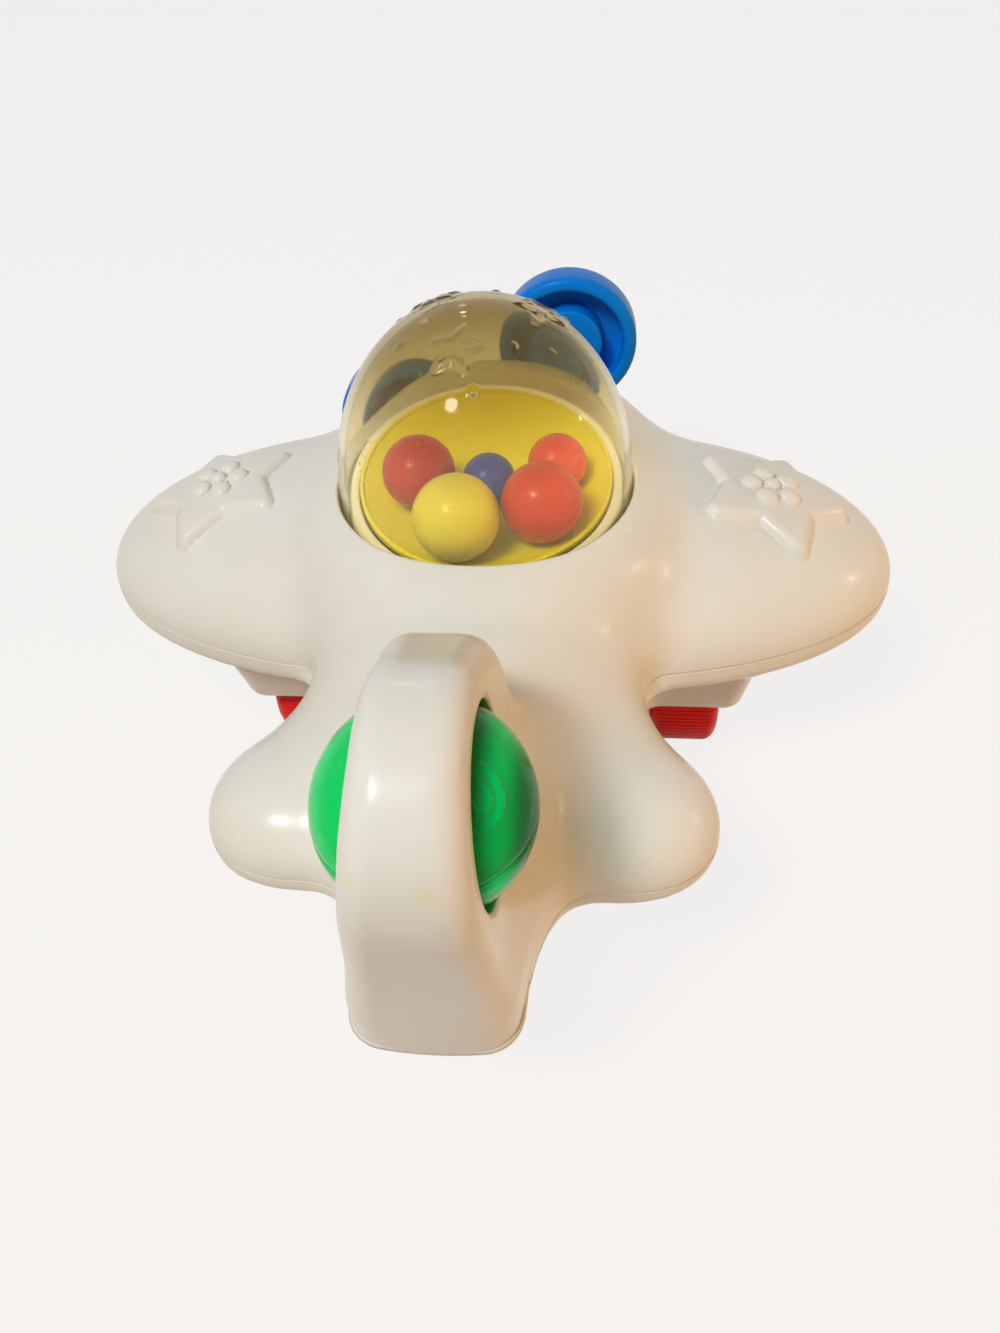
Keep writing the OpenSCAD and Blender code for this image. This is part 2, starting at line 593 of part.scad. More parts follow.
// Loose balls in the dish: place from the dome's middle, and radius, for a dish of radius 32.5
balls = dish_r / 32.5 * [[-5.1, -22.6, 10.6], [15.1, -16.2, 9.9], [-16.6, -3.6, 9.3], [18.3, 1.6, 7.5], [0.8, 0, 6.9]];
module dish_ball(i, tint) {
    b = balls[i];
    out_y = dome_y + b.y - bowl_y;
    rest = bowl_z - sqrt(pow(bowl_r - b[2] - 0.05, 2) - b.x * b.x - out_y * out_y);
    color(tint) translate([b.x, dome_y + b.y, rest]) sphere(b[2], $fn = 64);
}
module ball_yellow() { dish_ball(0, "#d6b733"); }
module ball_orange() { dish_ball(1, "#c8420c"); }
module ball_dark_red() { dish_ball(2, "#b03030"); }
module ball_pink() { dish_ball(3, "#e05040"); }
module ball_blue() { dish_ball(4, "#39408c"); }

// Propeller with three cupped lobes
shaft_r = 3;
shaft_back = 18; // Reach of the shaft inside the nose
cap_lap = 1.5; // Depth of the cap's seat in the propeller's hub
module lobe_profile() {
    polygon(concat([[0, 3], [4.5, 3], [4.5, 1], [lobe_r * 0.5, 1], [lobe_r * 0.5, 6], [lobe_r - 4, 6], [lobe_r - 4, 1.2]],
        [for (t = [180 : -30 : 0]) [lobe_r - 2 + 2 * cos(t), 2 - 2 * sin(t)]],
        [for (t = [0 : 15 : 90]) [lobe_r - 5 + 5 * cos(t), prop_t - 5 + 5 * sin(t)]], [[0, prop_t]]));
}
module propeller() {
    color("#0a6fdc") translate([0, prop_back_y, prop_z]) rotate([-90, 0, 0]) difference() {
        union() {
            for (i = [0 : 2]) rotate(-90 + prop_turn + 120 * i) {
                translate([lobe_offset, 0, 0]) rotate_extrude() lobe_profile();
                translate([0, -9, 2]) cube([lobe_offset - lobe_r + 3, 18, prop_t - 5]);
            }
            cylinder(r = 11, h = prop_t - cap_lap);
        }
        translate([0, 0, -1]) cylinder(r = shaft_r + 0.01, h = prop_t + 2);
    }
}
module propeller_cap() {
    color("#e6c81e") translate([0, prop_back_y + prop_t - cap_lap, prop_z]) rotate([-90, 0, 0])
        rotate_extrude() polygon(concat([[0, 0]], [for (t = [0 : 10 : 90]) [9 * cos(t), 0.4 + 3.1 * sin(t)]]));
}
module propeller_shaft() {
    color("silver") translate([0, nose_y - shaft_back, prop_z]) rotate([-90, 0, 0])
        cylinder(r = shaft_r, h = prop_back_y + prop_t - cap_lap - 0.1 - nose_y + shaft_back);
}
module propeller_bush() {
    color("#c9c7be") translate([0, nose_y - 10, prop_z]) rotate([-90, 0, 0]) difference() {
        union() {
            cylinder(r = bush_r, h = 10 + 1.6);
            translate([0, 0, 10.2]) cylinder(r = bush_r + 2, h = 1.6);
        }
        translate([0, 0, -1]) cylinder(r = shaft_r + run_gap, h = 16);
    }
}
module shaft_clip() {
    color("silver") translate([0, nose_y - 14, prop_z]) rotate([-90, 0, 0]) difference() {
        cylinder(r = 6, h = 2);
        translate([0, 0, -1]) cylinder(r = shaft_r + 0.01, h = 4);
    }
}

// Rattle ball in the fin: two clear halves on two pins, with beads inside
pin_r = 1.5;
pin_seat = 2.4;
ball_wall = 1.6;
sleeve_wall = 3.4;
bead_r = 2.2;
bead_out = 9; // Distance of the beads from the ball's middle line
module half_ball(up) {
    s = up ? 1 : -1;
    color("#1fbf5f", 0.6) translate([0, fin_y, fin_z]) mirror([0, 0, up ? 0 : 1]) rotate_extrude($fn = 96)
        difference() {
            union() {
                difference() {
                    circle(tail_ball_r, $fn = 96);
                    circle(tail_ball_r - ball_wall, $fn = 96);
                }
                translate([0, tail_ball_r - 6]) square([4, 5.6]);
            }
            translate([-40, -40]) square([40, 80]);
            translate([-1, -41]) square([60, 41]);
            translate([-1, tail_ball_r - 4.6]) square([1 + pin_r + run_gap, 10]);
        }
}
module rattle_ball_upper() { half_ball(true); }
module rattle_ball_lower() { half_ball(false); }
module rattle_ball_pins() {
    color("silver") for (s = [-1, 1]) translate([0, fin_y, fin_z + (s > 0 ? tail_ball_r - 4 : -hole_r - pin_seat)])
        cylinder(r = pin_r, h = hole_r + pin_seat - tail_ball_r + 4, $fn = 32);
}
module rattle_beads() {
    floor_r = tail_ball_r - ball_wall - bead_r - 0.1;
    color("#e6c81e") translate([0, fin_y, fin_z]) for (i = [0 : 5]) let (t = 60 * i)
        translate([bead_out * cos(t), bead_out * sin(t), -sqrt(floor_r * floor_r - bead_out * bead_out)]) sphere(bead_r, $fn = 24);
}

// Tail wheel
module tail_wheel() {
    color("#c8281a") translate([0, tail_axle_y, tail_axle_z]) rotate([0, 90, 0]) difference() {
        rotate_extrude($fn = 96) hull() {
            translate([0, -tail_wheel_w / 2]) square([tail_wheel_r - 3, tail_wheel_w]);
            for (s = [-1, 1]) translate([tail_wheel_r - 3, s * (tail_wheel_w / 2 - 3)]) circle(3, $fn = 32);
        }
        cylinder(r = axle_r + run_gap, h = 30, center = true);
    }
}
tail_well_gap = 0.8;
tail_cheek = 3.4;
tail_axle_l = tail_wheel_w + 2 * tail_well_gap + 4.4;
module tail_axle() {
    color("silver") translate([0, tail_axle_y, tail_axle_z]) rotate([0, 90, 0])
        cylinder(r = axle_r, h = tail_axle_l, center = true);
}
module shell_screws() {
    color("silver") for (q = screw_places) translate([q.x, q.y, boss_foot(q) + head_depth - 0.05]) {
        translate([0, 0, -screw_head_t]) cylinder(r = screw_head_r, h = screw_head_t, $fn = 24);
        cylinder(r = screw_r, h = seam_z + boss_lap + thread_l - boss_foot(q) - head_depth, $fn = 24);
    }
}

upper_shell();
lower_shell();
dome();
dome_ring();
dome_screws();
popper_dish();
popper_stem();
return_spring();
stem_guide();
guide_screws();
main_axle();
wheel_left();
wheel_right();
axle_caps();
axle_bushes();
flicker_hub();
flicker_fingers();
ball_yellow();
ball_orange();
ball_dark_red();
ball_pink();
ball_blue();
propeller();
propeller_cap();
propeller_shaft();
propeller_bush();
shaft_clip();
rattle_ball_upper();
rattle_ball_lower();
rattle_ball_pins();
rattle_beads();
tail_wheel();
tail_axle();
shell_screws();
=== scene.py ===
import math

import bmesh
import bpy
import numpy as np
from bpy.props import FloatProperty, FloatVectorProperty, IntProperty, PointerProperty
from bpy.types import Operator, Panel, PropertyGroup
from mathutils import Euler, Matrix, Vector


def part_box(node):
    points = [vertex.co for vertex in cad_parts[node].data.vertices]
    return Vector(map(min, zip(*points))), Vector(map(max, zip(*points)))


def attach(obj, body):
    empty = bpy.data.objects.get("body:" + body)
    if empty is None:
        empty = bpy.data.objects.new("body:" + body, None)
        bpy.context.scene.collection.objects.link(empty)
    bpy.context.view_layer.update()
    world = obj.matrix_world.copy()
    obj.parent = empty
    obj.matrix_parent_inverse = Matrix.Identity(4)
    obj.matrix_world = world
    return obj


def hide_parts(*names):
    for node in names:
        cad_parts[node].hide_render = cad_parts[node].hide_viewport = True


bl_info = {
    "name": "Popper Toy Airplane",
    "version": (1, 0, 0),
    "blender": (4, 5, 0),
    "location": "3D View > Sidebar > Toy Airplane",
    "description": "Dresses the frame of a popper toy airplane in its moulded shells, clear dome and coloured parts",
    "category": "Add Mesh",
}

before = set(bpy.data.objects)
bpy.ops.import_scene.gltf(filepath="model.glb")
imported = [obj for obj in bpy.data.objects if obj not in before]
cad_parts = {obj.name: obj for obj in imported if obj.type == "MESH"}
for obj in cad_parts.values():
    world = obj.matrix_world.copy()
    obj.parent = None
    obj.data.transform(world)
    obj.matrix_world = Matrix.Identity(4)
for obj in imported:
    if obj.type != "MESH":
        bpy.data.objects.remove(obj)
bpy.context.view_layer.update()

# Stations of the toy in millimetres, as the frame has them
MM = 0.001
SEAM = 57.0
DOME_Y, DOME_R, DOME_SPRING, DOME_RISE, DOME_WALL = 27.0, 37.4, 94.0, 45.0, 1.6
FLANGE_Z, FLANGE_R, FLANGE_T = 79.95, 42.8, 2.0
DISH_R, DISH_DEPTH, DISH_T, DISH_LEAN, DISH_Z = 32.5, 9.0, 1.8, 12.0, 94.0
FIN_Y, FIN_UP, HOLE_R, BALL_R = -91.5, 46.0, 20.9, 19.8
AXLE_Y, WHEEL_R, WHEEL_W, WHEEL_BORE, TRACK = 33.0, 19.0, 20.0, 2.51, 131.0
TAIL_Y, TAIL_R, TAIL_W, TAIL_BORE = -57.0, 14.0, 12.0, 2.56
PROP_Y, PROP_Z, PROP_T, LOBE_OUT, LOBE_R, PROP_TURN = 103.0, 62.0, 13.0, 34.5, 21.0, 33.0
STAR_X, STAR_Y, STAR_R = 74.5, 36.5, 20.5
POSTS = [(24, 82), (-24, 82), (70, 62), (-70, 62), (94, 34), (-94, 34), (0, -100)]
LEGS = [(sx * 24, DOME_Y + sy * 15) for sx in (-1, 1) for sy in (-1, 1)]
DOME_FOOT, DOME_SCREW_R, COLLAR_UP, COLLAR_R = (0, DOME_Y, 0), 40.1, 23, 12
WING_X, WING_Y, WING_LONG = 110, 39, 50
BODY_X, BODY_Y, BODY_FRONT, BODY_BACK = 44, 36, 64.5, 88
SPINE_X, SPINE_Y, SPINE_LONG = 22, -42, 62
PLANE_X, PLANE_Y, PLANE_TIP, PLANE_ROOT = 38.5, -56, 18.5, 12
FIN_TOP, FIN_SHOULDER, FIN_TOE, FIN_HEEL = (FIN_Y, FIN_UP), (-78.5, 41), (-49.5, 6), (-104, -4)
FIN_R, SHOULDER_R = 26.5, 25
UPPER_WALL, LOWER_WALL, NOSE_WALL_Y = 2.4, 3.2, 96.8
BELLY_Z, BELLY_X, BELLY_SOFT = 18.6, 31.9, 12
WELL_IN, WELL_OUT, WELL_R = 43.9, 67.1, 20.6
KEEL_X, KEEL_Z, TAIL_WELL_X, TAIL_GAP = 10.2, 11, 6.8, 1.2
SPACER_R, POST_R, POST_CORE, LEG_R, LEG_Z = 4.6, 4, 3.1, 2.9, 7.6
SCREW_SINK, SCREW_SEAT = 3, 0.05
QUARTER = math.pi / 2

# The photograph's camera: angles in degrees, place in millimetres, focal length and picture height in pixels
CAMERA_TURN, CAMERA_FALL, CAMERA_ROLL = 6.2, 42.6, -2.8
CAMERA_SPOT, FOCAL, PICTURE_H, SENSOR = (27.3, -212.5, 248.0), 1100, 1333, 36


def paint(red, green, blue):
    """Linear colour of a paint given in screen values of 0 to 255."""
    return tuple((c / 255 / 12.92) if c < 11 else ((c / 255 + 0.055) / 1.055) ** 2.4 for c in (red, green, blue))


def colour(name, words, red, green, blue):
    """A colour property, its default given in screen values."""
    return FloatVectorProperty(name=name, description=words, subtype="COLOR", size=3, min=0, max=1,
                               default=paint(red, green, blue))


def length(name, words, value, low=0.0):
    """A length property in metres."""
    return FloatProperty(name=name, description=words, default=value, min=low, unit="LENGTH", subtype="DISTANCE")


class ToyShellSettings(PropertyGroup):
    """Sizes of the two white shells."""
    grain: length("Mesh Size", "Size of the shells' mesh before its fine places are split", 1.29 * MM, 0.8 * MM)
    star_raise: length("Star Raise", "Height of a wing star over the wing", 1.9 * MM)
    fin_fillet: length("Fin Fillet", "Size of the fillet where the fin grows out of the tail", 11 * MM)
    groove: length("Seam Groove", "Depth of the groove between the two shells", 0.46 * MM)
    body: colour("Body White", "Cream white of the shells", 227, 223, 212)
    aged: colour("Aged White", "Tone of the places that have yellowed", 216, 204, 176)


class ToyDomeSettings(PropertyGroup):
    """Sizes and colours of the clear dome."""
    relief: length("Relief", "Height of the stars and dots on the dome", 0.62 * MM)
    clear: colour("Clear Amber", "Colour of the dome's clear plastic", 249, 242, 212)
    # Painted shade: the crown's deeper colour stands in for dark surroundings seen through the dome, not a tint of the
    # plastic
    crown: colour("Crown Painted Shade", "Deeper colour towards the crown", 182, 164, 112)


class ToyPopperSettings(PropertyGroup):
    """Sizes and colours of the dish, its spring and the balls."""
    spring_turns: IntProperty(name="Spring Turns", description="Turns of the return spring", default=5, min=2, max=12)
    dish: colour("Dish Yellow", "Yellow of the popping dish", 218, 208, 0)
    yellow: colour("Yellow Ball", "Colour of the yellow ball", 198, 184, 40)
    orange: colour("Orange Ball", "Colour of the orange ball", 188, 34, 2)
    dark_red: colour("Dark Red Ball", "Colour of the dark red ball", 172, 22, 30)
    pink: colour("Coral Ball", "Colour of the coral ball", 220, 70, 58)
    blue: colour("Blue Ball", "Colour of the blue ball", 48, 62, 184)


class ToyPropellerSettings(PropertyGroup):
    """Sizes and colours of the propeller."""
    lobes: IntProperty(name="Lobes", description="Round lobes of the propeller", default=3, min=2, max=5)
    body: colour("Propeller Blue", "Blue of the propeller", 0, 120, 214)
    cap: colour("Cap Yellow", "Yellow of the propeller's cap", 232, 198, 30)


class ToyGearSettings(PropertyGroup):
    """Sizes and colours of the wheels and the ball in the fin."""
    ribs: IntProperty(name="Tread Ribs", description="Ribs round a main wheel", default=80, min=24, max=120)
    beads: IntProperty(name="Beads", description="Loose beads in the rattle ball", default=6, min=1, max=12)
    wheel: colour("Wheel Red", "Red of the wheels", 232, 30, 18)
    # Painted shade: the darker side of the rattle ball stands in for shade, not dye
    ball_deep: colour("Painted Shade Green", "Darker colour on one side of the rattle ball", 12, 142, 56)
    ball: colour("Clear Green", "Colour of the rattle ball's clear plastic", 0, 236, 138)


class ToyStageSettings(PropertyGroup):
    """The floor and the light."""
    floor: colour("Floor", "Colour of the floor", 200, 170, 136)
    key: FloatProperty(name="Key Light", description="Power of the main lamp", default=7.8, min=0, unit="POWER")
    fill: FloatProperty(name="Warm Fill", description="Power of the warm lamp on the right", default=3.0, min=0,
                        unit="POWER")
    sky: FloatProperty(name="Sky", description="Strength of the light from all round", default=0.12, min=0)


def settings(context, part):
    """The settings of one part of the toy."""
    return getattr(context.scene, "toy_" + part)


# Forms as rough distances in millimetres, below zero inside


def join(a, b, k):
    """Union of two forms with a fillet of size k."""
    h = np.maximum(k - np.abs(a - b), 0) / k
    return np.minimum(a, b) - h * h * k / 4


def meet(a, b, k):
    """Common part of two forms with a rounded edge of size k."""
    return -join(-a, -b, k)


def rounded(parts, r):
    """Common part of near square forms, with edges of radius r."""
    parts = [p + r for p in parts]
    top = parts[0]
    for p in parts[1:]:
        top = np.maximum(top, p)
    return np.sqrt(sum(np.maximum(p, 0) ** 2 for p in parts)) + np.minimum(top, 0) - r


def part_way(value, low, high):
    """How far a value lies from low to high, from 0 to 1."""
    return np.clip((value - low) / (high - low), 0, 1)


def off(x, y, spot):
    """Distance in a plane from a spot."""
    return np.hypot(x - spot[0], y - spot[1])


def lump(x, y, z, sx, sy, sz, n):
    """A rounded lump of three half sizes, squarer as n grows."""
    total = (np.abs(x) / sx) ** n + (np.abs(y) / sy) ** n + (np.abs(z) / sz) ** n
    return (total ** (1 / n) - 1) * min(sx, sz)


def taper(u, v, a, b, ra, rb):
    """Distance in a plane from the outline round a circle at a and one at b."""
    px, py, qx, qy = u - a[0], v - a[1], b[0] - a[0], b[1] - a[1]
    h = qx * qx + qy * qy
    sx, sy = np.abs(px * qy - py * qx) / h, (px * qx + py * qy) / h
    d = ra - rb
    c = math.sqrt(h - d * d)
    k = c * sy - d * sx
    side = c * sx + d * sy - ra
    low = np.sqrt(h * (sx * sx + sy * sy)) - ra
    high = np.sqrt(np.maximum(h * (sx * sx + sy * sy + 1 - 2 * sy), 0)) - rb
    return np.where(k < 0, low, np.where(k > c, high, side))


def polygon_distance(x, y, points):
    """Signed distance in a plane from a closed polygon."""
    best = np.full(np.shape(x), 1e9)
    inside = np.zeros(np.shape(x), bool)
    for i, (ax, ay) in enumerate(points):
        bx, by = points[i - 1]
        ex, ey, wx, wy = bx - ax, by - ay, x - ax, y - ay
        t = np.clip((wx * ex + wy * ey) / (ex * ex + ey * ey), 0, 1)
        best = np.minimum(best, (wx - t * ex) ** 2 + (wy - t * ey) ** 2)
        if ay != by:
            inside ^= ((ay > y) != (by > y)) & (x < (bx - ax) * (y - ay) / (by - ay) + ax)
    return np.sqrt(best) * np.where(inside, -1, 1)


def star(x, y, tip, notch, turn, soft):
    """Distance from a five pointed star of radius tip, its points rounded by soft."""
    tenth = math.pi / 5
    nx, ny = notch * math.sin(tenth), tip - notch * math.cos(tenth)
    size = math.hypot(nx, ny)
    nx, ny = nx / size, ny / size
    reach = nx * tip - soft
    radii = [reach / nx, reach / (nx * math.cos(tenth) + ny * math.sin(tenth))]
    points = [(radii[i % 2] * math.cos(turn + tenth * i), radii[i % 2] * math.sin(turn + tenth * i)) for i in range(10)]
    return polygon_distance(x, y, points) - soft


def wing_star(x, y, lift):
    """Height of a wing's pillow star and of the flower bumps on it."""
    fall = 1 - np.clip((0.5 - star(x, y, STAR_R + 2.9, STAR_R * 0.64, 0, 2.7)) / 3.2, 0, 1)
    bloom = 1.9 * np.maximum(1 - (x * x + y * y) / 6.0, 0) ** 0.6
    for i in range(5):
        a = math.radians(72 * i + 36)
        away = (x - 5.4 * math.cos(a)) ** 2 + (y - 5.4 * math.sin(a)) ** 2
        bloom = np.maximum(bloom, 1.7 * np.maximum(1 - away / 9.6, 0) ** 0.6)
    return lift * (1 - fall ** 2.4) + bloom


def body(x, y, z, up):
    """The airplane's body on one side of the seam; z is the height over the seam, or the depth under it."""
    rise, power = (32.0, 2) if up else (12.0, 4.5)
    wing = (np.abs(x) / WING_X) ** 2.5 + ((y - WING_Y) / WING_LONG) ** 2 + np.abs(z / rise) ** power
    wing = (np.sqrt(wing) - 1) * rise
    dy = y - BODY_Y
    rise = 35 + 5.5 * part_way(dy, 0, 40) if up else 22.0
    ends = np.where(dy > 0, (np.maximum(dy, 0) / BODY_FRONT) ** 9, (np.maximum(-dy, 0) / BODY_BACK) ** 2.4)
    fuselage = (((np.abs(x) / BODY_X) ** 2.4 + (np.abs(z) / rise) ** 2.4 + ends) ** (1 / 2.4) - 1) * rise
    spine = lump(x, y - SPINE_Y, z, SPINE_X, SPINE_LONG, 29 if up else 14, 2.3)
    # The tailplane is a row of lumps, larger and further forward towards its root
    tail, height, power = None, 17 if up else 7, 2 if up else 4
    for i in range(7):
        f = i / 6
        r, rise = PLANE_TIP + (1 - f) * PLANE_ROOT, height * (1 - 0.12 * f)
        dx, dy = np.abs(x) - PLANE_X * (0.35 + 0.65 * f), y - PLANE_Y - (1 - f) * PLANE_ROOT
        part = (np.sqrt((dx * dx + dy * dy) / (r * r) + np.abs(z / rise) ** power) - 1) * rise
        tail = part if tail is None else join(tail, part, 1.5)
    if not up:
        return join(join(wing, fuselage, 5.0), join(spine, tail, 6), 6)
    whole = join(join(wing, fuselage, 5 + 10 * part_way(z, 0, 22)), join(spine, tail, 12), 12)
    collar = np.hypot(np.maximum(off(x, y, DOME_FOOT) - DOME_R + 3, 0), np.maximum(z - COLLAR_UP, 0)) - COLLAR_R
    return join(whole, collar, 10)


def fin(x, y, z):
    """The fin, from its round top to its broad end over the seam."""
    edge = np.minimum(taper(y, z, FIN_TOP, FIN_HEEL, FIN_R, 5), taper(y, z, FIN_SHOULDER, FIN_TOE, SHOULDER_R, 7))
    edge = np.minimum(edge, taper(y, z, FIN_TOP, FIN_SHOULDER, FIN_R, SHOULDER_R))
    core = polygon_distance(y, z, [FIN_TOP, FIN_SHOULDER, FIN_TOE, (FIN_TOE[0], -20), (FIN_HEEL[0], -20)])
    side = np.abs(x) - (15 - 5.5 * part_way(z, 10, 66.5))
    return rounded([np.minimum(edge, core), side], 5.6)


def footprint(x, y, soft):
    """The outline that both shells share at the seam."""
    return join(body(x, y, 0 * x, True), fin(x, y, 0 * x), soft)


def upper_form(s):
    """The upper shell: its skin, wall, fin, wing stars and openings."""
    def form(x, y, z):
        z = z - SEAM
        skin = join(body(x, y, z, True), fin(x, y, z), s.fin_fillet / MM)
        hole, out = off(y, z, FIN_TOP), off(x, y, DOME_FOOT)
        # The space inside keeps clear of the nose, the fin's hole, the dome's ledge and the screw posts
        space = np.maximum(skin + UPPER_WALL + 1.8 * part_way(y, 78, 90), y - NOSE_WALL_Y)
        space = np.maximum(space, HOLE_R + 3.4 - hole)
        space = np.maximum(space, np.minimum(DOME_R + 14 - out, z - 25))
        for post in POSTS:
            space = np.maximum(space, np.minimum(POST_R - off(x, y, post), z - 2))
        skin = skin - np.where(z > 8, wing_star(np.abs(x) - STAR_X, y - STAR_Y, s.star_raise / MM), 0)
        solid = np.maximum(skin, -space)
        solid = meet(solid, HOLE_R - np.hypot(hole, x), 1.5)
        solid = meet(solid, DOME_R + 0.5 - out, 1.4)
        return np.maximum(solid, np.minimum(SPACER_R - np.hypot(x, z - 5), y - 88))
    return form


def lower_form(s):
    """The lower shell: pan, belly, wheel housings and tail fairing."""
    def form(x, y, z):
        side, deep = np.abs(x), SEAM - z
        pan = body(x, y, deep, False)
        brim = footprint(x, y, s.fin_fillet / MM) * 0.5
        pan = pan + (brim - body(x, y, 0 * z, False)) * np.exp(-(deep / 5) ** 2) * (np.abs(pan) < 14)
        heel = rounded([side - 15, -109 - y, y + 64, 50.5 + 0.05 * (y + 109) - z, z - 70], 5)
        pan = join(pan, heel, 4)
        # The belly rises behind y 9 and narrows behind y 5
        flat = join(-(BELLY_Z - z), -(-0.4226 * (y - 9) - 0.9056 * (z - BELLY_Z)), 8)
        flank = join(-(side - BELLY_X), -(0.8918 * (side - BELLY_X) - 0.4516 * (y - 5)), 8)
        front = np.maximum(0.93 * (y - 51) - 0.367 * (z - BELLY_Z), -53 - y)
        belly = rounded([-flat - BELLY_SOFT, -flank - BELLY_SOFT, front - BELLY_SOFT, z - 66], BELLY_SOFT)
        rise = part_way(z, 27.5, 48.5)
        arch = rounded([side - (70.4 + 2.4 * rise), 39.9 - side, np.abs(y - AXLE_Y) - (23 + 7 * rise),
                        25.5 - z, z - 53.5], 5)
        rise = part_way(z, 17, 48)
        keel = np.hypot(side, np.maximum(np.abs(y - TAIL_Y) - 10 - 6 * rise, 0))
        keel = np.maximum(meet(keel - KEEL_X - rise, KEEL_Z - z, 3), z - 54)
        skin = join(join(join(pan, belly, 3), arch, 5), keel, 4)
        space = np.minimum(pan + LOWER_WALL, belly + LOWER_WALL)
        space = np.maximum(space, np.maximum(-arch, -keel))
        for post in POSTS:
            space = np.maximum(space, POST_R - off(x, y, post))
        solid = np.maximum(skin, -space)
        axle = off(y, z, (AXLE_Y, WHEEL_R))
        well = rounded([WELL_IN - side, side - WELL_OUT, axle - WELL_R], 0.6)
        slot = rounded([WELL_IN - side, side - WELL_OUT, np.abs(y - AXLE_Y) - WELL_R, z - 21, -9 - z], 0.6)
        tail_well = np.minimum(off(y, z, (TAIL_Y, TAIL_R)) - TAIL_R - TAIL_GAP,
                               rounded([np.abs(y - TAIL_Y) - TAIL_R - TAIL_GAP, z - TAIL_R], 0.2))
        tail_well = np.maximum(tail_well, side - TAIL_WELL_X)
        solid = meet(solid, -np.minimum(np.minimum(well, slot), tail_well), 0.9)
        solid = np.maximum(solid, np.minimum(SPACER_R - axle, 46 - side))
        for post, foot in zip(POSTS, feet):
            solid = np.maximum(solid, np.minimum(POST_CORE - off(x, y, post), foot + SCREW_SINK - z))
        for leg in LEGS:
            solid = np.maximum(solid, np.minimum(LEG_R - off(x, y, leg), LEG_Z - z))
        return solid

    feet = [post_foot(*post) for post in POSTS]
    return form


def post_foot(x, y):
    """Height of the pan's underside at a screw post, by halving."""
    low, high = 0.0, 40.0
    for _ in range(14):
        mid = (low + high) / 2
        inside = body(np.array(float(x)), np.array(float(y)), np.array(mid), False) < 0
        low, high = (mid, high) if inside else (low, mid)
    return SEAM - max(5.0, low)


# Meshes


def net(form, low, high, step):
    """Triangles near a form's surface, one point for each cell that the surface crosses."""
    axes = [np.arange(a, b + step, step) for a, b in zip(low, high)]
    value = np.empty([len(a) for a in axes], np.float32)
    for k, z in enumerate(axes[2]):
        gx, gy = np.meshgrid(axes[0], axes[1], indexing="ij")
        value[:, :, k] = form(gx, gy, np.full_like(gx, z))
    shape = np.array(value.shape) - 1
    total, count = np.zeros((*shape, 3), np.float32), np.zeros(shape, np.int8)
    crossings = []
    for axis in range(3):
        first = [slice(None)] * 3
        last = [slice(None)] * 3
        first[axis], last[axis] = slice(0, -1), slice(1, None)
        a, b = value[tuple(first)], value[tuple(last)]
        crossed = (a < 0) != (b < 0)
        crossings.append((axis, crossed, a < 0))
        share = np.where(crossed, a / np.where(crossed, a - b, 1), 0)
        others = [o for o in range(3) if o != axis]
        for i in (0, 1):
            for j in (0, 1):
                cut = [slice(None)] * 3
                cut[others[0]] = slice(i, shape[others[0]] + i)
                cut[others[1]] = slice(j, shape[others[1]] + j)
                hit = crossed[tuple(cut)]
                count += hit
                total[..., axis] += np.where(hit, share[tuple(cut)], 0)
                total[..., others[0]] += hit * i
                total[..., others[1]] += hit * j
    cells = np.argwhere(count > 0)
    number = np.full(shape, -1, np.int64)
    number[tuple(cells.T)] = np.arange(len(cells))
    points = (cells + total[tuple(cells.T)] / count[tuple(cells.T)][:, None]) * step + np.array(low)
    quads = []
    for axis, crossed, inside in crossings:
        b, c = (axis + 1) % 3, (axis + 2) % 3
        at = np.argwhere(crossed)
        at = at[(at[:, b] > 0) & (at[:, c] > 0) & (at[:, b] < shape[b]) & (at[:, c] < shape[c])]
        ring = []
        for db, dc in ((1, 1), (0, 1), (0, 0), (1, 0)):
            cell = at.copy()
            cell[:, b] -= db
            cell[:, c] -= dc
            ring.append(number[tuple(cell.T)])
        ring = np.stack(ring, 1)
        flip = ~inside[tuple(at.T)]
        ring[flip] = ring[flip][:, ::-1]
        quads.append(ring)
    quads = np.concatenate(quads)
    return points.astype(np.float64), np.concatenate([quads[:, [0, 1, 2]], quads[:, [0, 2, 3]]])


def slope(form, points, eps=0.12):
    """The form's value and its slope at each point."""
    value = form(*points.T)
    slopes = []
    for axis in range(3):
        shift = np.zeros(3)
        shift[axis] = eps
        slopes.append((form(*(points + shift).T) - form(*(points - shift).T)) / (2 * eps))
    return value, np.stack(slopes, 1)


def settle(form, points, reach, rounds=4):
    """Moves points on to the form's surface, none of them further than reach."""
    start = points
    for _ in range(rounds):
        value, rise = slope(form, points)
        away = points - value[:, None] * rise / np.maximum((rise ** 2).sum(1), 0.04)[:, None] - start
        size = np.linalg.norm(away, axis=1)
        points = start + away * np.minimum(1, reach / np.maximum(size, 1e-9))[:, None]
    return points


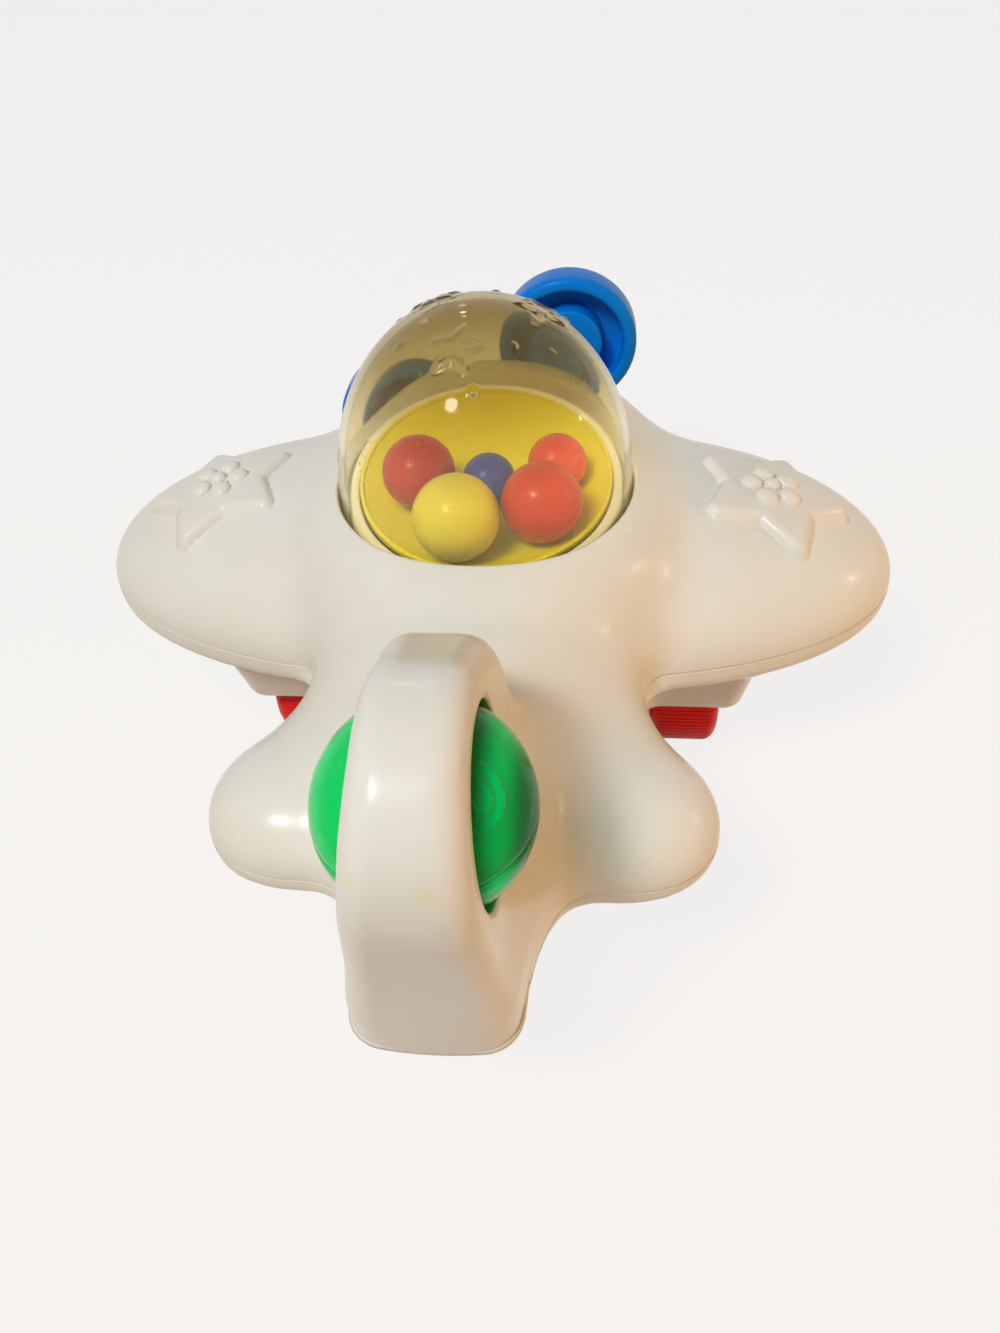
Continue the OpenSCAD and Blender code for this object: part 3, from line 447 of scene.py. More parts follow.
def refine(points, faces, near):
    """Splits each edge whose two ends are near, and the triangles on it."""
    ends = np.sort(faces[:, [0, 1, 1, 2, 2, 0]].reshape(-1, 2), axis=1)
    keys, back = np.unique(ends[:, 0] * len(points) + ends[:, 1], return_inverse=True)
    a, b = keys // len(points), keys % len(points)
    cut = near[a] & near[b]
    middle = np.full(len(keys), -1)
    middle[cut] = len(points) + np.arange(cut.sum())
    points = np.vstack([points, (points[a[cut]] + points[b[cut]]) / 2])
    mids = middle[back.reshape(-1, 3)]
    count = (mids >= 0).sum(1)
    made = [faces[count == 0]]
    full, m = faces[count == 3], mids[count == 3]
    for picks in ((full[:, 0], m[:, 0], m[:, 2]), (m[:, 0], full[:, 1], m[:, 1]),
                  (m[:, 2], m[:, 1], full[:, 2]), (m[:, 0], m[:, 1], m[:, 2])):
        made.append(np.stack(picks, 1))
    for k in range(3):
        pick = (count == 1) & (mids[:, k] >= 0)
        one, other, third, m = faces[pick, k], faces[pick, (k + 1) % 3], faces[pick, (k + 2) % 3], mids[pick, k]
        made += [np.stack((one, m, third), 1), np.stack((m, other, third), 1)]
    return points, np.concatenate(made)


def level(vectors):
    """Vectors brought to a length of 1."""
    return vectors / np.maximum(np.linalg.norm(vectors, axis=1), 1e-6)[:, None]


def shell_mesh(name, form, low, high, s, above, places):
    """A half shell from its form: fine where places say, cut at the seam, closed there, and grooved outside."""
    points, faces = net(form, low, high, s.grain / MM * (1 if above else 1.1))
    points = settle(form, points, 0.85)
    for place in places:
        count = len(points)
        points, faces = refine(points, faces, place(*points.T))
        points[count:] = settle(form, points[count:], 0.5)
    me = bpy.data.meshes.new(name)
    me.from_pydata(points.tolist(), [], faces.tolist())
    bm = bmesh.new()
    bm.from_mesh(me)
    way = 1 if above else -1
    for height, clear in ((SEAM + way * 0.5, False), (SEAM, True)):
        geometry = bm.verts[:] + bm.edges[:] + bm.faces[:]
        bmesh.ops.bisect_plane(bm, geom=geometry, dist=1e-4, plane_co=(0, 0, height), plane_no=(0, 0, way),
                               clear_inner=clear)
    bmesh.ops.triangle_fill(bm, use_beauty=True, edges=[e for e in bm.edges if e.is_boundary])
    bmesh.ops.triangulate(bm, faces=bm.faces)
    bm.normal_update()
    bm.to_mesh(me)
    bm.free()
    points = np.empty(len(me.vertices) * 3)
    me.vertices.foreach_get("co", points)
    points = points.reshape(-1, 3)
    at_seam = np.abs(points[:, 2] - SEAM) < 2e-4
    rise = level(slope(form, points)[1])
    outer = at_seam & (footprint(points[:, 0], points[:, 1], s.fin_fillet / MM) > -1.0)
    out = level(rise * (1, 1, 0))[outer]
    points[outer] -= out * (s.groove / MM)
    rise[outer] = out * 0.75 + np.array((0, 0, -way)) * 0.66
    me.vertices.foreach_set("co", (points * MM).ravel())
    for p in me.polygons:
        p.use_smooth = True
    loops = np.empty(len(me.loops), np.int64)
    me.loops.foreach_get("vertex_index", loops)
    normals = rise[loops]
    normals[at_seam[loops].reshape(-1, 3).all(1).repeat(3)] = (0, 0, -way)
    me.normals_split_custom_set(normals)
    me.update()
    return bpy.data.objects.new(name, me)


def fillet(points, radii, steps=5):
    """An outline's points, with the corners that radii names rounded."""
    made = []
    for i, p in enumerate(points):
        r = radii.get(i, 0)
        p = np.array(p, float)
        a, b = np.array(points[i - 1], float) - p, np.array(points[(i + 1) % len(points)], float) - p
        la, lb = np.linalg.norm(a), np.linalg.norm(b)
        if r <= 0 or la < 1e-9 or lb < 1e-9:
            made.append(tuple(p))
            continue
        a, b = a / la, b / lb
        half = math.acos(np.clip(a @ b, -1, 1)) / 2
        back = r / math.tan(half)
        if half > 1.5 or back > min(la, lb) * 0.99:
            made.append(tuple(p))
            continue
        centre = p + (a + b) / np.linalg.norm(a + b) * r / math.sin(half)
        start, end = p + a * back - centre, p + b * back - centre
        turn = math.atan2(start[0] * end[1] - start[1] * end[0], start @ end)
        for k in range(steps + 1):
            t = turn * k / steps
            made.append((centre[0] + start[0] * math.cos(t) - start[1] * math.sin(t),
                         centre[1] + start[0] * math.sin(t) + start[1] * math.cos(t)))
    return made


def ring(bm, r, z, sides):
    """A ring of vertices round Z."""
    return [bm.verts.new((r * math.cos(math.tau * i / sides), r * math.sin(math.tau * i / sides), z))
            for i in range(sides)]


def bridge(bm, one, two):
    """Faces between two rings of as many vertices."""
    for i in range(len(one)):
        j = (i + 1) % len(one)
        bm.faces.new((one[i], one[j], two[j], two[i]))


def lathe(outline, sides=96, closed=True):
    """A bmesh turned round Z from points of radius and height, in millimetres; points on the axis become poles."""
    bm = bmesh.new()
    rings = [[bm.verts.new((0, 0, h))] if r < 1e-6 else ring(bm, r, h, sides) for r, h in outline]
    for one, two in zip(rings, rings[1:] + rings[:closed]):
        if len(one) == 1 and len(two) == 1:
            continue
        for i in range(sides):
            j = (i + 1) % sides
            face = [one[i % len(one)], one[j % len(one)], two[j % len(two)], two[i % len(two)]]
            bm.faces.new([v for k, v in enumerate(face) if v not in face[:k]])
    bmesh.ops.recalc_face_normals(bm, faces=bm.faces)
    return bm


def arc(r, start, end, steps, up=0.0):
    """Points of radius and height on an arc, exactly on the axis where the arc meets it."""
    turns = [start + (end - start) * i / steps for i in range(steps + 1)]
    return [(0 if abs(abs(a) - QUARTER) < 1e-9 else r * math.cos(a), up + r * math.sin(a)) for a in turns]


def block(lows, highs, soft, steps=3):
    """A bmesh box with rounded edges."""
    bm = bmesh.new()
    bmesh.ops.create_cube(bm, size=1)
    for v in bm.verts:
        v.co = [(l + h) / 2 + c * (h - l) for l, h, c in zip(lows, highs, v.co)]
    bmesh.ops.bevel(bm, geom=bm.edges[:], offset=soft, segments=steps, affect="EDGES", profile=0.5)
    return bm


def place(bm, *moves):
    """Moves a bmesh by matrices, or by a shift given as three numbers."""
    for move in moves:
        move = move if isinstance(move, Matrix) else Matrix.Translation(move)
        bmesh.ops.transform(bm, matrix=move, verts=bm.verts)
    return bm


TO_X, TO_Y = Matrix.Rotation(QUARTER, 4, "Y"), Matrix.Rotation(-QUARTER, 4, "X")


def piece(name, *parts, sharp=32.0):
    """One object from several bmeshes in millimetres, smooth but for edges sharper than an angle."""
    me = bpy.data.meshes.new(name)
    whole = bmesh.new()
    for bm in parts:
        part = bpy.data.meshes.new("part")
        bm.to_mesh(part)
        bm.free()
        whole.from_mesh(part)
        bpy.data.meshes.remove(part)
    for v in whole.verts:
        v.co *= MM
    for f in whole.faces:
        f.smooth = True
    whole.to_mesh(me)
    whole.free()
    me.set_sharp_from_angle(angle=math.radians(sharp))
    return bpy.data.objects.new(name, me)


def finish(ob, rider, slot, look, *nodes):
    """Links a piece, gives it its finish and body, and hides the frame's nodes that it stands for."""
    if ob.name not in bpy.context.scene.collection.objects:
        bpy.context.scene.collection.objects.link(ob)
    if look is not None:
        ob.data.materials.clear()
        ob.data.materials.append(look)
    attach(ob, rider)
    if nodes:
        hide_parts(*nodes)


def repaint(look, *nodes):
    """Gives nodes of the frame their finish."""
    for node in nodes:
        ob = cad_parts[node]
        if not ob.material_slots:
            ob.data.materials.append(look)
        for slot in ob.material_slots:
            slot.material = look


# Geometry Nodes


def socketed(name, kind, given, out):
    """An empty node tree with its named inputs and outputs."""
    tree = bpy.data.node_groups.new(name, kind + "NodeTree")
    for way, sockets in (("INPUT", given), ("OUTPUT", out)):
        for label, socket, *default in sockets:
            made = tree.interface.new_socket(label, in_out=way, socket_type="NodeSocket" + socket)
            if default:
                made.default_value = default[0]
    return tree, put(tree, "NodeGroupInput").outputs


def shared(name):
    """Marks a function that builds a named node tree, so that the tree is built once."""
    def wrap(build):
        return lambda: bpy.data.node_groups.get(name) or build(name)
    return wrap


def feed(tree, node, feeds):
    """Gives a node its inputs, as values or as sockets to link."""
    for key, value in feeds.items():
        if isinstance(value, bpy.types.NodeSocket):
            tree.links.new(value, node.inputs[key])
        else:
            node.inputs[key].default_value = value


def put(tree, kind, feeds=None, **options):
    """Adds a node with its options and inputs."""
    made = tree.nodes.new(kind)
    for key, value in options.items():
        setattr(made, key, value)
    feed(tree, made, feeds or {})
    return made


def calc(tree, operation, *values):
    """A Math node's result."""
    return put(tree, "ShaderNodeMath", dict(enumerate(values)), operation=operation).outputs[0]


def copies(tree, points, piece_given, turn):
    """Turned copies of a given piece on points."""
    info = put(tree, "GeometryNodeObjectInfo", {"Object": piece_given})
    return put(tree, "GeometryNodeInstanceOnPoints", {
        "Points": points, "Instance": info.outputs["Geometry"], "Rotation": turn}).outputs[0]


def closed_tree(tree, geometry, look):
    """Ends a tree in real geometry with its finish."""
    real = put(tree, "GeometryNodeRealizeInstances", {0: geometry})
    done = put(tree, "GeometryNodeSetMaterial", {"Geometry": real.outputs[0], "Material": look})
    put(tree, "NodeGroupOutput", {0: done.outputs[0]})
    return tree


GEOMETRY_OUT = [("Geometry", "Geometry")]


@shared("Ring of Pieces")
def ring_tree(name):
    """Copies of a piece turned round an axis, such as tread ribs, propeller lobes and beads, joined to a body."""
    tree, given = socketed(name, "Geometry", [
        ("Body", "Geometry"), ("Piece", "Object"), ("Count", "Int", 6), ("Turn", "Vector", (0, 0, math.tau)),
        ("Start", "Vector", (0, 0, 0)), ("Centre", "Vector", (0, 0, 0)), ("Finish", "Material")], GEOMETRY_OUT)
    spots = put(tree, "GeometryNodePoints", {"Count": given["Count"], "Position": given["Centre"]})
    share = calc(tree, "DIVIDE", put(tree, "GeometryNodeInputIndex").outputs[0], given["Count"])
    turn = put(tree, "ShaderNodeVectorMath", {0: given["Turn"], "Scale": share}, operation="SCALE")
    total = put(tree, "ShaderNodeVectorMath", {0: turn.outputs[0], 1: given["Start"]}, operation="ADD")
    both = put(tree, "GeometryNodeJoinGeometry", {
        0: copies(tree, spots.outputs[0], given["Piece"], total.outputs[0])})
    tree.links.new(given["Body"], both.inputs[0])
    return closed_tree(tree, both.outputs[0], given["Finish"])


@shared("Pieces on Points")
def scatter_tree(name):
    """Copies of a piece on the points of a carrier, such as screws, each at its own turn."""
    tree, given = socketed(name, "Geometry", [
        ("Places", "Geometry"), ("Piece", "Object"), ("Turn", "Float", 0.7), ("Seed", "Int", 4),
        ("Finish", "Material")], GEOMETRY_OUT)
    chance = put(tree, "FunctionNodeRandomValue", {2: 0, 3: given["Turn"], "Seed": given["Seed"]}, data_type="FLOAT")
    turn = put(tree, "ShaderNodeCombineXYZ", {"Z": chance.outputs[1]}).outputs[0]
    return closed_tree(tree, copies(tree, given["Places"], given["Piece"], turn), given["Finish"])


@shared("Wound Spring")
def spring_tree(name):
    """A wire wound along a coil."""
    tree, given = socketed(name, "Geometry", [
        ("Carrier", "Geometry"), ("Turns", "Float", 5.0), ("Radius", "Float", 0.005), ("Height", "Float", 0.01),
        ("Wire", "Float", 0.0005), ("Foot", "Vector", (0, 0, 0)), ("Finish", "Material")], GEOMETRY_OUT)
    coil = put(tree, "GeometryNodeCurveSpiral", {
        "Resolution": 28, "Rotations": given["Turns"], "Start Radius": given["Radius"], "End Radius": given["Radius"],
        "Height": given["Height"]})
    wire = put(tree, "GeometryNodeCurvePrimitiveCircle", {"Resolution": 10, "Radius": given["Wire"]})
    tube = put(tree, "GeometryNodeCurveToMesh", {0: coil.outputs[0], 1: wire.outputs[0], "Fill Caps": True})
    moved = put(tree, "GeometryNodeTransform", {"Geometry": tube.outputs[0], "Translation": given["Foot"]})
    smooth = put(tree, "GeometryNodeSetShadeSmooth", {"Geometry": moved.outputs[0]})
    return closed_tree(tree, smooth.outputs[0], given["Finish"])


def grown(name, carrier, tree, spare=(), **values):
    """The result of a Geometry Nodes tree on a carrier, as a plain object."""
    scene = bpy.context.scene.collection
    for ob in (carrier, *spare):
        scene.objects.link(ob)
    run = carrier.modifiers.new(tree.name, "NODES")
    run.node_group = tree
    for item in tree.interface.items_tree:
        if item.item_type == "SOCKET" and item.in_out == "INPUT" and item.name in values:
            run[item.identifier] = values[item.name]
    carrier.update_tag()
    graph = bpy.context.evaluated_depsgraph_get()
    me = bpy.data.meshes.new_from_object(carrier.evaluated_get(graph), preserve_all_data_layers=True, depsgraph=graph)
    carrier.modifiers.remove(run)
    for ob in (carrier, *spare):
        bpy.data.objects.remove(ob)
    me.name = name
    return bpy.data.objects.new(name, me)


def dots(name, spots):
    """A carrier with a point at each place, in millimetres."""
    me = bpy.data.meshes.new(name)
    me.from_pydata([tuple(c * MM for c in p) for p in spots], [], [])
    return bpy.data.objects.new(name, me)


# Materials


def noise(tree, spot, scale, detail, **more):
    """A noise texture's value."""
    return put(tree, "ShaderNodeTexNoise", {"Vector": spot, "Scale": scale, "Detail": detail, **more}).outputs[0]


def ramp(tree, value, low, high, start=0.0, end=1.0, **options):
    """A value's place between two limits, put out from start to end."""
    return put(tree, "ShaderNodeMapRange", {0: value, 1: low, 2: high, 3: start, 4: end}, **options).outputs[0]


def mixed(tree, share, one, two):
    """A mix of two colours."""
    return put(tree, "ShaderNodeMix", {0: share, 6: one, 7: two}, data_type="RGBA").outputs[2]


def place_on(tree):
    """The place on the piece, in Object coordinates."""
    return put(tree, "ShaderNodeTexCoord").outputs["Object"]


def dented(tree, strength, depth, height):
    """The normal of a surface with fine relief."""
    return put(tree, "ShaderNodeBump", {"Strength": strength, "Distance": depth, "Height": height}).outputs[0]


WHITE, SMOOTH = (1, 1, 1, 1), {"interpolation_type": "SMOOTHSTEP"}


@shared("Handling Wear")
def wear_group(name):
    """Handling marks on moulded plastic: mottled tone, fine scratches and a faint grain."""
    tree, given = socketed(name, "Shader", [
        ("Colour", "Color", WHITE), ("Worn Colour", "Color", WHITE), ("Mottle", "Float", 0.5),
        ("Scratches", "Float", 0.3), ("Grain", "Float", 0.2), ("Roughness", "Float", 0.3), ("Size", "Float", 1.0)],
        [("Colour", "Color"), ("Roughness", "Float"), ("Height", "Float")])
    spot = put(tree, "ShaderNodeVectorMath", {0: place_on(tree), "Scale": given["Size"]}, operation="SCALE").outputs[0]
    cloud = ramp(tree, noise(tree, spot, 26.0, 5.0, Roughness=0.62), 0.40, 0.68)
    tone = calc(tree, "MULTIPLY", cloud, given["Mottle"])
    marks = []
    for turn, stretch, seed in (((0.5, 0.3, 0.9), (30, 800, 800), 0.0), ((1.3, 0.9, 0.2), (800, 36, 700), 3.0)):
        laid = put(tree, "ShaderNodeMapping", {0: spot, 1: (seed, seed, 0), 2: turn, 3: stretch})
        marks.append(ramp(tree, noise(tree, laid.outputs[0], 1.0, 0.0), 0.74, 0.80))
    patch = ramp(tree, noise(tree, spot, 40.0, 2.0), 0.5, 0.62)
    marks = calc(tree, "MULTIPLY", calc(tree, "MAXIMUM", *marks), patch)
    marks = calc(tree, "MULTIPLY", marks, given["Scratches"])
    rough = calc(tree, "MULTIPLY_ADD", tone, 0.12, given["Roughness"])
    put(tree, "NodeGroupOutput", {
        0: mixed(tree, tone, given["Colour"], given["Worn Colour"]), 1: calc(tree, "MULTIPLY_ADD", marks, 0.3, rough),
        2: calc(tree, "MULTIPLY", noise(tree, spot, 900.0, 3.0), given["Grain"])})
    return tree


@shared("Soft Stain")
def discolour_and_shade_group(name):
    """A soft round spot of another tone at a place, uneven at its edge, used for stains and for patches of painted
    shade.
    """
    tree, given = socketed(name, "Shader", [
        ("Colour", "Color", WHITE), ("Stain", "Color", WHITE), ("Place", "Vector", (0, 0, 0)),
        ("Reach", "Float", 0.004), ("Strength", "Float", 0.5)], [("Colour", "Color")])
    spot = place_on(tree)
    away = put(tree, "ShaderNodeVectorMath", {0: spot, 1: given["Place"]}, operation="DISTANCE")
    share = calc(tree, "DIVIDE", away.outputs["Value"], given["Reach"])
    share = calc(tree, "MULTIPLY_ADD", noise(tree, spot, 420.0, 3.0), 0.7, share)
    mask = calc(tree, "MULTIPLY", ramp(tree, share, 0.55, 1.35, 1.0, 0.0, **SMOOTH), given["Strength"])
    put(tree, "NodeGroupOutput", {0: mixed(tree, mask, given["Colour"], given["Stain"])})
    return tree


def blank(name):
    """A new material with its tree and its Principled shader."""
    look = bpy.data.materials.new(name)
    look.use_nodes = True
    return look, look.node_tree, look.node_tree.nodes["Principled BSDF"]


def surface(tree, share, one, two, end="Material Output"):
    """Ends a tree in a mix of two shaders."""
    mixer = put(tree, "ShaderNodeMixShader", {0: share, 1: one, 2: two})
    tree.links.new(mixer.outputs[0], tree.nodes[end].inputs["Surface"])


def seen(tree):
    """1 where the camera sees a place, itself or in a mirror or through glass, and 0 for other light."""
    path = put(tree, "ShaderNodeLightPath").outputs
    straight = calc(tree, "MAXIMUM", path["Is Camera Ray"], path["Is Glossy Ray"])
    return calc(tree, "MAXIMUM", straight, path["Is Transmission Ray"])


def plastic(name, base, worn=0.84, rough=0.3, mottle=0.4, scratches=0.35, grain=0.15, size=1.0, coat=0.0, shine=0.25,
            discolour_and_shade_spots=()):
    """Moulded plastic with handling wear; worn is its second tone, or the share of the first that it keeps."""
    look, tree, shader = blank(name)
    worn = darker(base, worn) if isinstance(worn, float) else worn
    wear = put(tree, "ShaderNodeGroup", {
        "Colour": (*base, 1), "Worn Colour": (*worn, 1), "Mottle": mottle, "Scratches": scratches, "Grain": grain,
        "Roughness": rough, "Size": size}, node_tree=wear_group()).outputs
    tone = wear["Colour"]
    # Each spot is a stain or a patch of painted shade
    for spot, reach, strength, spot_tone in discolour_and_shade_spots:
        tone = put(tree, "ShaderNodeGroup", {
            "Colour": tone, "Stain": (*spot_tone, 1), "Place": tuple(c * MM for c in spot), "Reach": reach * MM,
            "Strength": strength}, node_tree=discolour_and_shade_group()).outputs[0]
    feed(tree, shader, {
        "Base Color": tone, "Roughness": wear["Roughness"], "Normal": dented(tree, 0.12, 0.0003, wear["Height"]),
        "Specular IOR Level": shine, "Coat Weight": coat, "Coat Roughness": 0.08})
    return look


def clear_plastic(name, base, deep, low, high, rough, lamp, ior, clear=0.95, axis="Z", painted_light_band=None):
    """Clear tinted plastic that lets lamps through, with painted shade as a deeper colour between two places, but for a
    strip of painted light.
    """
    look, tree, shader = blank(name)
    along = put(tree, "ShaderNodeSeparateXYZ", {0: place_on(tree)}).outputs[axis]
    # Painted shade: the colour deepens between low and high along the axis
    share = ramp(tree, along, low * MM, high * MM, **SMOOTH)
    # A strip of painted light keeps the base colour near this place, for light focused through the piece
    if painted_light_band is not None:
        away = calc(tree, "ABSOLUTE", calc(tree, "SUBTRACT", along, painted_light_band * MM))
        share = calc(tree, "MULTIPLY", share, ramp(tree, away, 0.0, 5.2 * MM, **SMOOTH))
    wear = put(tree, "ShaderNodeGroup", {
        "Colour": mixed(tree, share, (*base, 1), (*deep, 1)), "Worn Colour": (*deep, 1), "Mottle": 0.10,
        "Scratches": 0.9, "Grain": 0.02, "Roughness": rough, "Size": 1.0}, node_tree=wear_group()).outputs
    feed(tree, shader, {
        "Base Color": wear["Colour"], "Roughness": wear["Roughness"],
        "Normal": dented(tree, 0.08, 0.0003, wear["Height"]), "Transmission Weight": clear, "IOR": ior})
    through = put(tree, "ShaderNodeBsdfTransparent", {0: tuple(c ** 0.5 * lamp for c in base) + (1,)})
    path = put(tree, "ShaderNodeLightPath").outputs
    surface(tree, path["Is Shadow Ray"], shader.outputs[0], through.outputs[0])
    return look


def steel(name, tone, rough, streaks):
    """Bright steel with fine turning or drawing marks."""
    look, tree, shader = blank(name)
    spot = place_on(tree)
    marks = noise(tree, put(tree, "ShaderNodeMapping", {0: spot, 3: streaks}).outputs[0], 1.0, 4.0)
    feed(tree, shader, {
        "Base Color": mixed(tree, noise(tree, spot, 180.0, 3.0), (*tone, 1), (*darker(tone, 0.72), 1)),
        "Roughness": ramp(tree, marks, 0.3, 0.7, rough * 0.7, rough * 1.5),
        "Normal": dented(tree, 0.15, 0.0001, marks), "Metallic": 1.0})
    return look


def darker(tone, share):
    """A colour with a share of its brightness."""
    return tuple(c * share for c in tone)


# Pieces

CREAM, CREAM_WORN = paint(206, 203, 192), paint(186, 180, 164)


class ToyShells(Operator):
    """Makes the two white shells"""
    bl_idname = "toy.shells"
    bl_label = "White Shells"

    def execute(self, context):
        s = settings(context, "shells")
        spot_tone = paint(226, 218, 150)
        white = plastic("Body White", s.body, s.aged, rough=0.25, mottle=0.25, scratches=0.0, grain=0.04, shine=0.42,
                        coat=0.05, discolour_and_shade_spots=[
                            ((-8.5, -116, 113.5), 2.6, 0.55, spot_tone), ((4, -116.4, 112), 2.4, 0.5, spot_tone),
                            # Painted shade: the warm brown spot on the floor of the fin's hole, under the rattle ball;
                            # the other spots are stains
                            ((0, -96, 79), 8, 0.35, paint(206, 172, 112)), ((3, 74, 92), 6, 0.25, spot_tone)])

        def by_star(x, y, reach):
            return off(np.abs(x), y, (STAR_X, STAR_Y)) < reach

        # Finer triangles at the wing stars, at their flowers, round the dome and at the fin's hole
        top = shell_mesh("upper_shell_skin", upper_form(s), (-112, -120, 52.3), (112, 103, 132), s, True, [
            lambda x, y, z: by_star(x, y, 23) & (z > 74) & (body(x, y, z - SEAM, True) > -1.2),
            lambda x, y, z: by_star(x, y, 8.5) & (body(x, y, z - SEAM, True) > 0.5),
            lambda x, y, z: (np.abs(off(x, y, DOME_FOOT) - DOME_R - 1.4) < 2.0) & (z > 86),
            lambda x, y, z: (np.abs(off(y, z - SEAM, FIN_TOP) - 17.6) < 3.0) & (np.abs(x) > 9.2)])
        finish(top, "airframe", "white_shell", white, "upper_shell")
        # Finer triangles at the screw posts and at the guide's legs
        pan = shell_mesh("lower_shell_skin", lower_form(s), (-112, -114, 4), (112, 103, 61), s, False, [
            lambda x, y, z: np.min([off(x, y, spot) for spot in POSTS + LEGS], axis=0) < 4.4])
        finish(pan, "airframe", "white_shell", white, "lower_shell")
        return {"FINISHED"}


class ToyDome(Operator):
    """Makes the clear dome and the white ring under it"""
    bl_idname = "toy.dome"
    bl_label = "Clear Dome"
    power = 0.96
    stars = (-103, 17, 137)
    dots = ((12.4, -162), (19.2, -154), (23.4, -88), (15.7, -54), (13.7, -14), (14.4, 77), (23.4, 32), (19.6, 86),
            (23.0, 152), (20.5, -30))

    def execute(self, context):
        s = settings(context, "dome")
        inner_rise, inner_r = DOME_RISE - DOME_WALL, DOME_R - DOME_WALL

        def curve(r, up, steps):
            turns = [QUARTER * (i / steps) ** 0.92 for i in range(steps)]
            return [(r * max(math.cos(t), 0) ** self.power, DOME_SPRING + up * math.sin(t)) for t in turns] + [
                (0, DOME_SPRING + up)]

        top = FLANGE_Z + FLANGE_T
        foot = [(inner_r, FLANGE_Z), (FLANGE_R - 0.3, FLANGE_Z), (FLANGE_R, FLANGE_Z + 0.3), (FLANGE_R, top - 0.4),
                (FLANGE_R - 0.4, top), (DOME_R + 0.3, top), (DOME_R, top + 0.3)]
        bm = lathe(foot + curve(DOME_R, DOME_RISE, 96) + curve(inner_r, inner_rise, 40)[::-1], 224)
        bm.normal_update()
        for v in bm.verts:
            lift = math.acos(min(1, (math.hypot(v.co.x, v.co.y) / inner_r) ** (1 / self.power)))
            if v.co.z >= max(DOME_SPRING + 14, DOME_SPRING + inner_rise * math.sin(lift) + 0.7):
                v.co += v.normal * self.raise_at(v.co.x, v.co.y) * (s.relief / MM)
        # Painted shade: the colour deepens towards the crown, from 108 to 132 mm high, for dark surroundings seen
        # through the dome
        amber = clear_plastic("Amber Clear Plastic", s.clear, s.crown, 108, 132, rough=0.05, lamp=0.97, ior=1.22)
        finish(piece("clear_dome", place(bm, DOME_FOOT)), "airframe", "amber_clear", amber, "dome")
        ring_in, ring_out, ring_top = DISH_R + 0.25, inner_r - 0.5, 93.1
        bm = lathe(fillet([(ring_in, FLANGE_Z - 3), (FLANGE_R, FLANGE_Z - 3), (FLANGE_R, FLANGE_Z),
                           (ring_out, FLANGE_Z), (ring_out, ring_top), (ring_in, ring_top)],
                          {0: 0.4, 1: 0.5, 2: 0.4, 3: 0.3, 4: 0.8, 5: 0.8}, 4), 160)
        for v in bm.verts:
            if v.co.z > 88:
                v.co.z += v.co.y * 0.2
        white = settings(context, "shells").body
        finish(piece("dome_sleeve", place(bm, DOME_FOOT)), "airframe", "white_inner",
               plastic("Ring White", white, white, rough=0.32), "dome_ring")
        return {"FINISHED"}

    def raise_at(self, x, y):
        """Height of the moulded stars and dots at a place on the dome, from 0 to 1."""
        tall = 0.0
        for turn in self.stars:
            a = math.radians(turn)
            d = star(np.array([x]) - 15 * math.cos(a), np.array([y]) - 15 * math.sin(a), 7.2, 3.7, a + math.pi, 0.6)[0]
            tall = max(tall, 0.5 * min(1, max(0, 0.5 - d / 1.2)) + 0.5 * math.exp(-((d + 0.95) / 0.6) ** 2))
        for r, turn in self.dots:
            a = math.radians(turn)
            d = math.hypot(x - r * math.cos(a), y - r * math.sin(a)) / 1.15
            tall = max(tall, 0.7 * (1 - d * d))
        return tall


class ToyPopper(Operator):
    """Makes the popping dish and its return spring"""
    bl_idname = "toy.popper"
    bl_label = "Popping Dish"

    def execute(self, context):
        s = settings(context, "popper")
        yellow = plastic("Dish Yellow", s.dish, 0.82, rough=0.34, mottle=0.35, scratches=0.7, grain=0.2)
        bowl = (DISH_R ** 2 + DISH_DEPTH ** 2) / (2 * DISH_DEPTH)
        deep, under = bowl - DISH_DEPTH, bowl + DISH_T
        inner, outer = [arc(r, -QUARTER, math.asin(DISH_R / r) - QUARTER, steps, deep)[:-1]
                        for r, steps in ((bowl, 24), (under, 12))]
        edge = fillet([(DISH_R - 1.2, inner[-1][1] + 0.02), (DISH_R - 0.9, -0.1), (DISH_R, -0.05),
                       (DISH_R, deep - math.sqrt(under ** 2 - DISH_R ** 2)), outer[-1]], {1: 0.2, 2: 0.35, 3: 0.5}, 3)
        dish = place(lathe(inner + edge[1:-1] + outer[::-1], 128),
                     Matrix.Rotation(math.radians(DISH_LEAN), 4, "X"), (0, DOME_Y, DISH_Z))
        stem, boss, low, high = 3.0, 6.4, 76, 84.2
        hub = fillet([(stem, low), (boss, low), (boss, high), (stem, high)], {0: 0.3, 1: 0.8, 2: 0.3}, 3)
        hub = place(lathe(hub, 48), DOME_FOOT)
        finish(piece("popper_bowl", dish, hub), "popper", "yellow_plastic", yellow, "popper_dish")
        repaint(yellow, "popper_stem")
        wire, wire_r = steel("Spring Wire", (0.62, 0.61, 0.58), 0.22, (900, 900, 90)), 0.45 * MM
        low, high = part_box("return_spring")
        spring = grown("wound_spring", dots("spring_carrier", [(0, 0, 0)]), spring_tree(),
                       Turns=float(s.spring_turns), Radius=5.3 * MM, Height=high.z - low.z - 2 * wire_r, Wire=wire_r,
                       Foot=(0, DOME_Y * MM, low.z + wire_r), Finish=wire)
        finish(spring, "airframe", "spring_steel", None, "return_spring")
        return {"FINISHED"}


